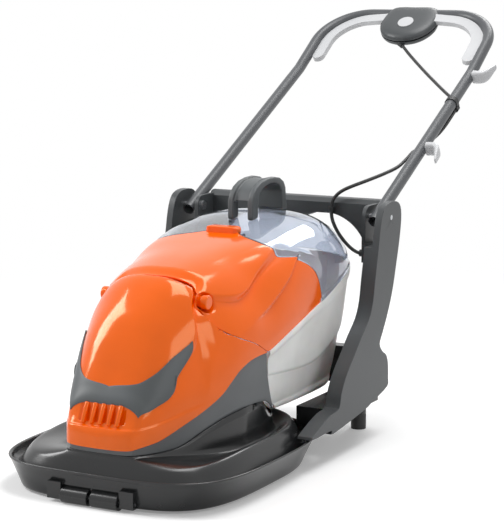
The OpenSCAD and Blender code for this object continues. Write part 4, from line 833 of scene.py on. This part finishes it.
class MOWER_OT_grass_bin(bpy.types.Operator):
    """Milky grass bin with a stepped side, open at its front."""

    bl_idname = "mower.grass_bin"
    bl_label = "Grass bin"

    def execute(self, context):
        s = sizes()
        last = s.body_front + s.body_l
        floor_rear, floor_mid, floor_z, step_in = 652, 520, 106, 4.5
        # Share of the grid that makes the wall: the rest closes in to the floor's middle.
        wall_share, close_rate = 0.9, 9.6
        # How much the columns crowd at the corners, and the power of the lean at the front and at the rear.
        corner, front_power, rear_power = 0.35, 2.6, 1.4

        def wall_at(u, d):
            run = 1 - abs(2 * u - 1)
            share = mix(run, ease(0, 1, run), corner)
            top = mix(BIN_FRONT, last, share)
            low = mix(BIN_FLOOR, floor_rear, share)
            y = mix(top, low, d ** mix(front_power, rear_power, share))
            return math.copysign(half_at(top) * curve_at(BIN, d), 0.5 - u), y, mix(waist_at(top), floor_z, d)

        def place(u, v):
            d = min(1.0, v / wall_share)
            x, y, z = wall_at(u, d)
            line = curve_at(BIN_STEP, y)
            step = ease(line + 3, line - 3, z) * ease(0.98, 0.9, d) * ease(30, 60, abs(x))
            x -= math.copysign(step_in * step, x)
            if v > wall_share:
                closed = (v - wall_share) * close_rate
                x, y = mix(x, 0, closed), mix(y, floor_mid, closed)
            return x, y, z

        tub = grid_piece("grass_bin_tub", 220, 90, place)
        thicken(tub, s.wall)
        settle(tub, "collector", finish("milky_pp_bin"), "pale_plastic", "grass_bin")
        return {"FINISHED"}


# The lead


def turned(p, angle):
    """Point turned about the axis across the mower."""
    c, s = math.cos(angle), math.sin(angle)
    return p[0], p[1] * c - p[2] * s, p[1] * s + p[2] * c


def on_leg(p):
    """Point given across, along a leg from the pivot and off it, in millimetres from the roller axle."""
    x, y, z = turned(p, slopes().tilt)
    return x, y + sizes().pivot_back, z + sizes().pivot_z


def on_bar(p):
    """Point given across, along the grip from its top bar and off it."""
    # The leg up to its kink, the radius of the kink and the grip up to the bar, in millimetres.
    leg_l, kink_r, grip_l = 545, 60, 205
    k = slopes().kink
    x, y, z = turned((p[0], p[1] + grip_l, p[2]), k)
    return on_leg((x, y + leg_l + kink_r * math.sin(k), z + kink_r * (1 - math.cos(k))))


def smooth_path(points, steps=8):
    """Points along a smooth curve through the given ones, in the part's frame."""
    p = [placed(q) for q in points]
    p = [2 * p[0] - p[1]] + p + [2 * p[-1] - p[-2]]
    path = []
    for a, b, c, d in zip(p, p[1:], p[2:], p[3:]):
        for k in range(steps):
            t = k / steps
            path.append(0.5 * (2 * b + t * (c - a) + t**2 * (2 * a - 5 * b + 4 * c - d)
                               + t**3 * (3 * b - a - 3 * c + d)))
    return path + [p[-2]]


def lead_piece(name, path):
    """Round lead along a path."""
    d = sizes().lead_d * MM
    line = bpy.data.curves.new(name, "CURVE")
    line.dimensions = "3D"
    line.bevel_depth = d / 2
    line.bevel_resolution = 4
    line.use_fill_caps = True
    spline = line.splines.new("POLY")
    spline.points.add(len(path) - 1)
    for b, p in zip(spline.points, path):
        b.co = (*p, 1)
    temp = bpy.data.objects.new(name + "_line", line)
    bpy.context.scene.collection.objects.link(temp)
    bpy.context.view_layer.update()
    mesh = bpy.data.meshes.new_from_object(temp.evaluated_get(bpy.context.evaluated_depsgraph_get()))
    bpy.data.objects.remove(temp)
    mesh.polygons.foreach_set("use_smooth", [True] * len(mesh.polygons))
    obj = bpy.data.objects.new(name, mesh)
    bpy.context.scene.collection.objects.link(obj)
    obj.data.materials.clear()
    obj.data.materials.append(finish("black_rubber"))
    length = sum((b - a).length for a, b in zip(path, path[1:]))
    return obj


class MOWER_OT_lead(bpy.types.Operator):
    """Lead from the switch box along the handle to the gland on the yoke."""

    bl_idname = "mower.lead"
    bl_label = "Lead"

    def execute(self, context):
        s = sizes()
        # Where the lead leaves the switch box, seen along the grip, and its direction there.
        exit_x, exit_back, exit_off, way = -12, -92, -8, math.radians(50)
        clip_gap = 10
        clip_back = s.body_front + s.body_l + clip_gap
        out = [on_bar((exit_x + d * math.sin(way), exit_back - d * math.cos(way), exit_off))
               for d in LEAD_EXIT]
        upper = smooth_path(out + [on_leg((p[0] + s.leg_x, p[1], p[2])) for p in LEAD_LEG])
        lower = smooth_path([(p[0] + s.leg_x, p[1] + clip_back, p[2] + s.pivot_z) for p in LEAD_YOKE])
        lower[0] = upper[-1]
        on_handle = lead_piece("lead_on_handle", upper)
        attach(on_handle, "handle")
        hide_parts("lead_upper")
        to_yoke = lead_piece("lead_to_yoke", lower)
        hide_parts("lead_lower")
        placed((120, 745, 465))
        placed((186, 905, 530))
        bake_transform(to_yoke)
        return {"FINISHED"}


class MOWER_OT_switch_box(bpy.types.Operator):
    """Pebble-shaped switch box in an upper and a lower shell."""

    bl_idname = "mower.switch_box"
    bl_label = "Switch box"

    def execute(self, context):
        half_w, box_l, over, mid_back, deep = 66.0, 120.0, 17.0, -42.0, 18.0
        # How square the box is in plan and in height: 2 is an ellipse.
        plan_power, height_power = 4.4, 3.2

        def shell(name, low, high, node):
            def place(u, v):
                k = 2 * u if u < 0.5 else 2 - 2 * u
                x, back = curve_at(BOX, k, 1) * half_w, over - box_l * curve_at(BOX, k, 2)
                rise = math.radians(mix(low, high, v))
                inset = max(0.0, math.cos(rise)) ** (2 / plan_power)
                w = math.copysign(deep * abs(math.sin(rise)) ** (2 / height_power), rise)
                return on_bar((math.copysign(x * inset, 0.5 - u), mix(mid_back, back, inset), w))

            half = grid_piece(name, 160, 36, place, closed=True)
            thicken(half, 2.5)
            settle(half, "handle", finish("satin_pp_dark"), "dark_plastic", node)

        shell("switch_box_top", 90, 1.2, "switch_box_upper")
        shell("switch_box_base", -1.2, -90, "switch_box_lower")
        return {"FINISHED"}


class MOWER_OT_cable_hooks(bpy.types.Operator):
    """Two scoop-shaped hooks on the leg that hold the coiled cable."""

    bl_idname = "mower.cable_hooks"
    bl_label = "Cable hooks"

    def execute(self, context):
        top_at_leg, low_at_leg = 532, 245
        # Where the rounded ends begin, the section's power (1 is an ellipse) and the step for the slope.
        cap_from, power, step = 0.94, 0.6, 0.01

        def hook(name, at, way, node):
            def place(u, v):
                turn = 2 * math.pi * u
                c, s = math.cos(turn), math.sin(turn)
                cap = math.sqrt(max(0.0, 1 - max(0.0, (abs(2 * v - 1) - cap_from) / (1 - cap_from)) ** 2))
                across = math.copysign(abs(c) ** power, c) * curve_at(HOOK, v, 3) * cap
                off = math.copysign(abs(s) ** power, s) * curve_at(HOOK, v, 4) / 2 * cap
                out, run = curve_at(HOOK, v, 1), curve_at(HOOK, v, 2)
                before, after = max(0, v - step), min(1, v + step)
                d_out = curve_at(HOOK, after, 1) - curve_at(HOOK, before, 1)
                d_run = curve_at(HOOK, after, 2) - curve_at(HOOK, before, 2)
                size = math.hypot(d_out, d_run)
                x = sizes().leg_x + out - off * d_run / size
                return on_leg((x, at + way * (run + off * d_out / size), across))

            piece = grid_piece(name, 40, 60, place, closed=True)
            settle(piece, "handle", finish("satin_abs_pale"), "pale_plastic", node)

        hook("cable_hook_top", top_at_leg, 1, "hook_upper")
        hook("cable_hook_low", low_at_leg, -1, "hook_lower")
        return {"FINISHED"}


def seen_rays(tree):
    """Node that gives 1 to camera, mirror and glass rays and 0 to the others."""
    ray = add(tree, "ShaderNodeLightPath")
    first = add(tree, "ShaderNodeMath", {"operation": "ADD"}, {},
                {0: ray.outputs["Is Camera Ray"], 1: ray.outputs["Is Glossy Ray"]})
    return add(tree, "ShaderNodeMath", {"operation": "ADD", "use_clamp": True}, {},
               {0: first.outputs[0], 1: ray.outputs["Is Transmission Ray"]})


class MOWER_OT_stage(bpy.types.Operator):
    """White floor, soft studio lights and the camera."""

    bl_idname = "mower.stage"
    bl_label = "Stage"

    def execute(self, context):
        scene = context.scene
        white_hex, floor_hex, floor_glow, ambient = "#FFFFFF", "#F1F1F1", 0.22, 0.3
        floor_half, white_from, white_to = 14, 1.0, 2.0
        bm = bmesh.new()
        bmesh.ops.create_grid(bm, x_segments=4, y_segments=4, size=floor_half)
        floor = finish_mesh(bm, "floor")
        m = bpy.data.materials.new("white_sweep")
        m.use_nodes = True
        t = m.node_tree
        t.nodes.clear()
        seen = seen_rays(t)
        glow_level = add(t, "ShaderNodeMath", {"operation": "MULTIPLY"}, {1: floor_glow},
                         {0: seen.outputs[0]})
        cloth = add(t, "ShaderNodeBsdfDiffuse", {}, {"Color": linear(floor_hex)})
        glow = add(t, "ShaderNodeEmission", {}, {"Color": linear(white_hex)},
                   {"Strength": glow_level.outputs[0]})
        both = add(t, "ShaderNodeAddShader", {}, {}, {0: cloth.outputs[0], 1: glow.outputs[0]})
        # Away from the mower the sweep turns plain white, so that no horizon shows.
        place = add(t, "ShaderNodeTexCoord")
        away = add(t, "ShaderNodeVectorMath", {"operation": "LENGTH"}, {}, {0: place.outputs["Object"]})
        far = add(t, "ShaderNodeMapRange", {"interpolation_type": "SMOOTHSTEP"},
                  {"From Min": white_from, "From Max": white_to}, {"Value": away.outputs["Value"]})
        plain = add(t, "ShaderNodeMath", {"operation": "MULTIPLY"}, {},
                    {0: far.outputs["Result"], 1: seen.outputs[0]})
        white = add(t, "ShaderNodeEmission", {}, {"Color": linear(white_hex), "Strength": 1.0})
        sweep = add(t, "ShaderNodeMixShader", {}, {},
                    {0: plain.outputs[0], 1: both.outputs[0], 2: white.outputs[0]})
        add(t, "ShaderNodeOutputMaterial", {}, {}, {"Surface": sweep.outputs[0]})
        # The glow shows only to camera, mirror and glass rays, so it isn't sampled as a lamp.
        m.cycles.emission_sampling = "NONE"
        floor.data.materials.append(m)

        world = bpy.data.worlds.new("studio")
        scene.world = world
        world.use_nodes = True
        t = world.node_tree
        t.nodes.clear()
        seen = seen_rays(t)
        level = add(t, "ShaderNodeMapRange", {}, {"To Min": ambient, "To Max": 1.0},
                    {"Value": seen.outputs[0]})
        sky = add(t, "ShaderNodeBackground", {}, {"Color": linear(white_hex)},
                  {"Strength": level.outputs[0]})
        add(t, "ShaderNodeOutputWorld", {}, {}, {"Surface": sky.outputs[0]})

        aim = Vector((0, -0.15, 0.25))
        # Each lamp's name, place, width and height in metres, and power in watts.
        lamps = (("key", (-2.1, -1.1, 1.9), 0.9, 1.5, 46), ("top", (0.4, 0.2, 2.9), 1.8, 1.2, 44),
                 ("side", (2.4, -0.9, 1.3), 0.9, 1.2, 10), ("rear", (0.1, 2.3, 2.5), 1.5, 0.9, 30))
        for name, spot, wide, tall, power in lamps:
            light = bpy.data.lights.new(name, "AREA")
            light.shape = "RECTANGLE"
            light.size = wide
            light.size_y = tall
            light.energy = power
            lamp = bpy.data.objects.new(name, light)
            lamp.location = spot
            lamp.rotation_euler = (aim - Vector(spot)).to_track_quat("-Z", "Y").to_euler()
            scene.collection.objects.link(lamp)

        turn, lift = math.radians(28.0), math.radians(9.015)
        back = Vector((math.sin(turn) * math.cos(lift), -math.cos(turn) * math.cos(lift), math.sin(lift)))
        right = Vector((math.cos(turn), math.sin(turn), 0))
        up = back.cross(right)
        cam = bpy.data.cameras.new("photo_camera")
        focal_px, image_h = 1833.2, 530
        cam.sensor_fit = "VERTICAL"
        cam.sensor_height = 36
        cam.lens = focal_px * cam.sensor_height / image_h
        cam.clip_end = 60
        holder = bpy.data.objects.new("photo_camera", cam)
        spot = Vector((1.643, -2.514 - ORIGIN_BACK * MM, 0.887))
        holder.matrix_world = Matrix((
            (right.x, up.x, back.x, spot.x), (right.y, up.y, back.y, spot.y), (right.z, up.z, back.z, spot.z),
            (0, 0, 0, 1)))
        scene.collection.objects.link(holder)
        scene.camera = holder
        scene.view_settings.view_transform = "Standard"
        return {"FINISHED"}


class MOWER_PT_panel(bpy.types.Panel):
    """Lists the steps that dress the mower."""

    bl_idname = "MOWER_PT_panel"
    bl_label = "Hover mower"
    bl_space_type = "VIEW_3D"
    bl_region_type = "UI"
    bl_category = "Mower"

    def draw(self, context):
        for step in STEPS:
            self.layout.operator(step.bl_idname)


STEPS = (MOWER_OT_stage, MOWER_OT_lead, MOWER_OT_solids, MOWER_OT_motor_cover, MOWER_OT_vent_ribs,
         MOWER_OT_pivot_knobs, MOWER_OT_lid_front, MOWER_OT_lid_window, MOWER_OT_bumper, MOWER_OT_hood,
         MOWER_OT_lower_body, MOWER_OT_grass_bin, MOWER_OT_switch_box, MOWER_OT_cable_hooks)
CLASSES = (MowerSizes, MowerColours) + STEPS + (MOWER_PT_panel,)


def register():
    for c in CLASSES:
        bpy.utils.register_class(c)
    bpy.types.Scene.mower_sizes = bpy.props.PointerProperty(type=MowerSizes)
    bpy.types.Scene.mower_colours = bpy.props.PointerProperty(type=MowerColours)


def unregister():
    del bpy.types.Scene.mower_colours
    del bpy.types.Scene.mower_sizes
    for c in reversed(CLASSES):
        bpy.utils.unregister_class(c)


def main():
    register()
    for step in STEPS:
        group, verb = step.bl_idname.split(".")
        getattr(getattr(bpy.ops, group), verb)()


if __name__ == "__main__":
    main()
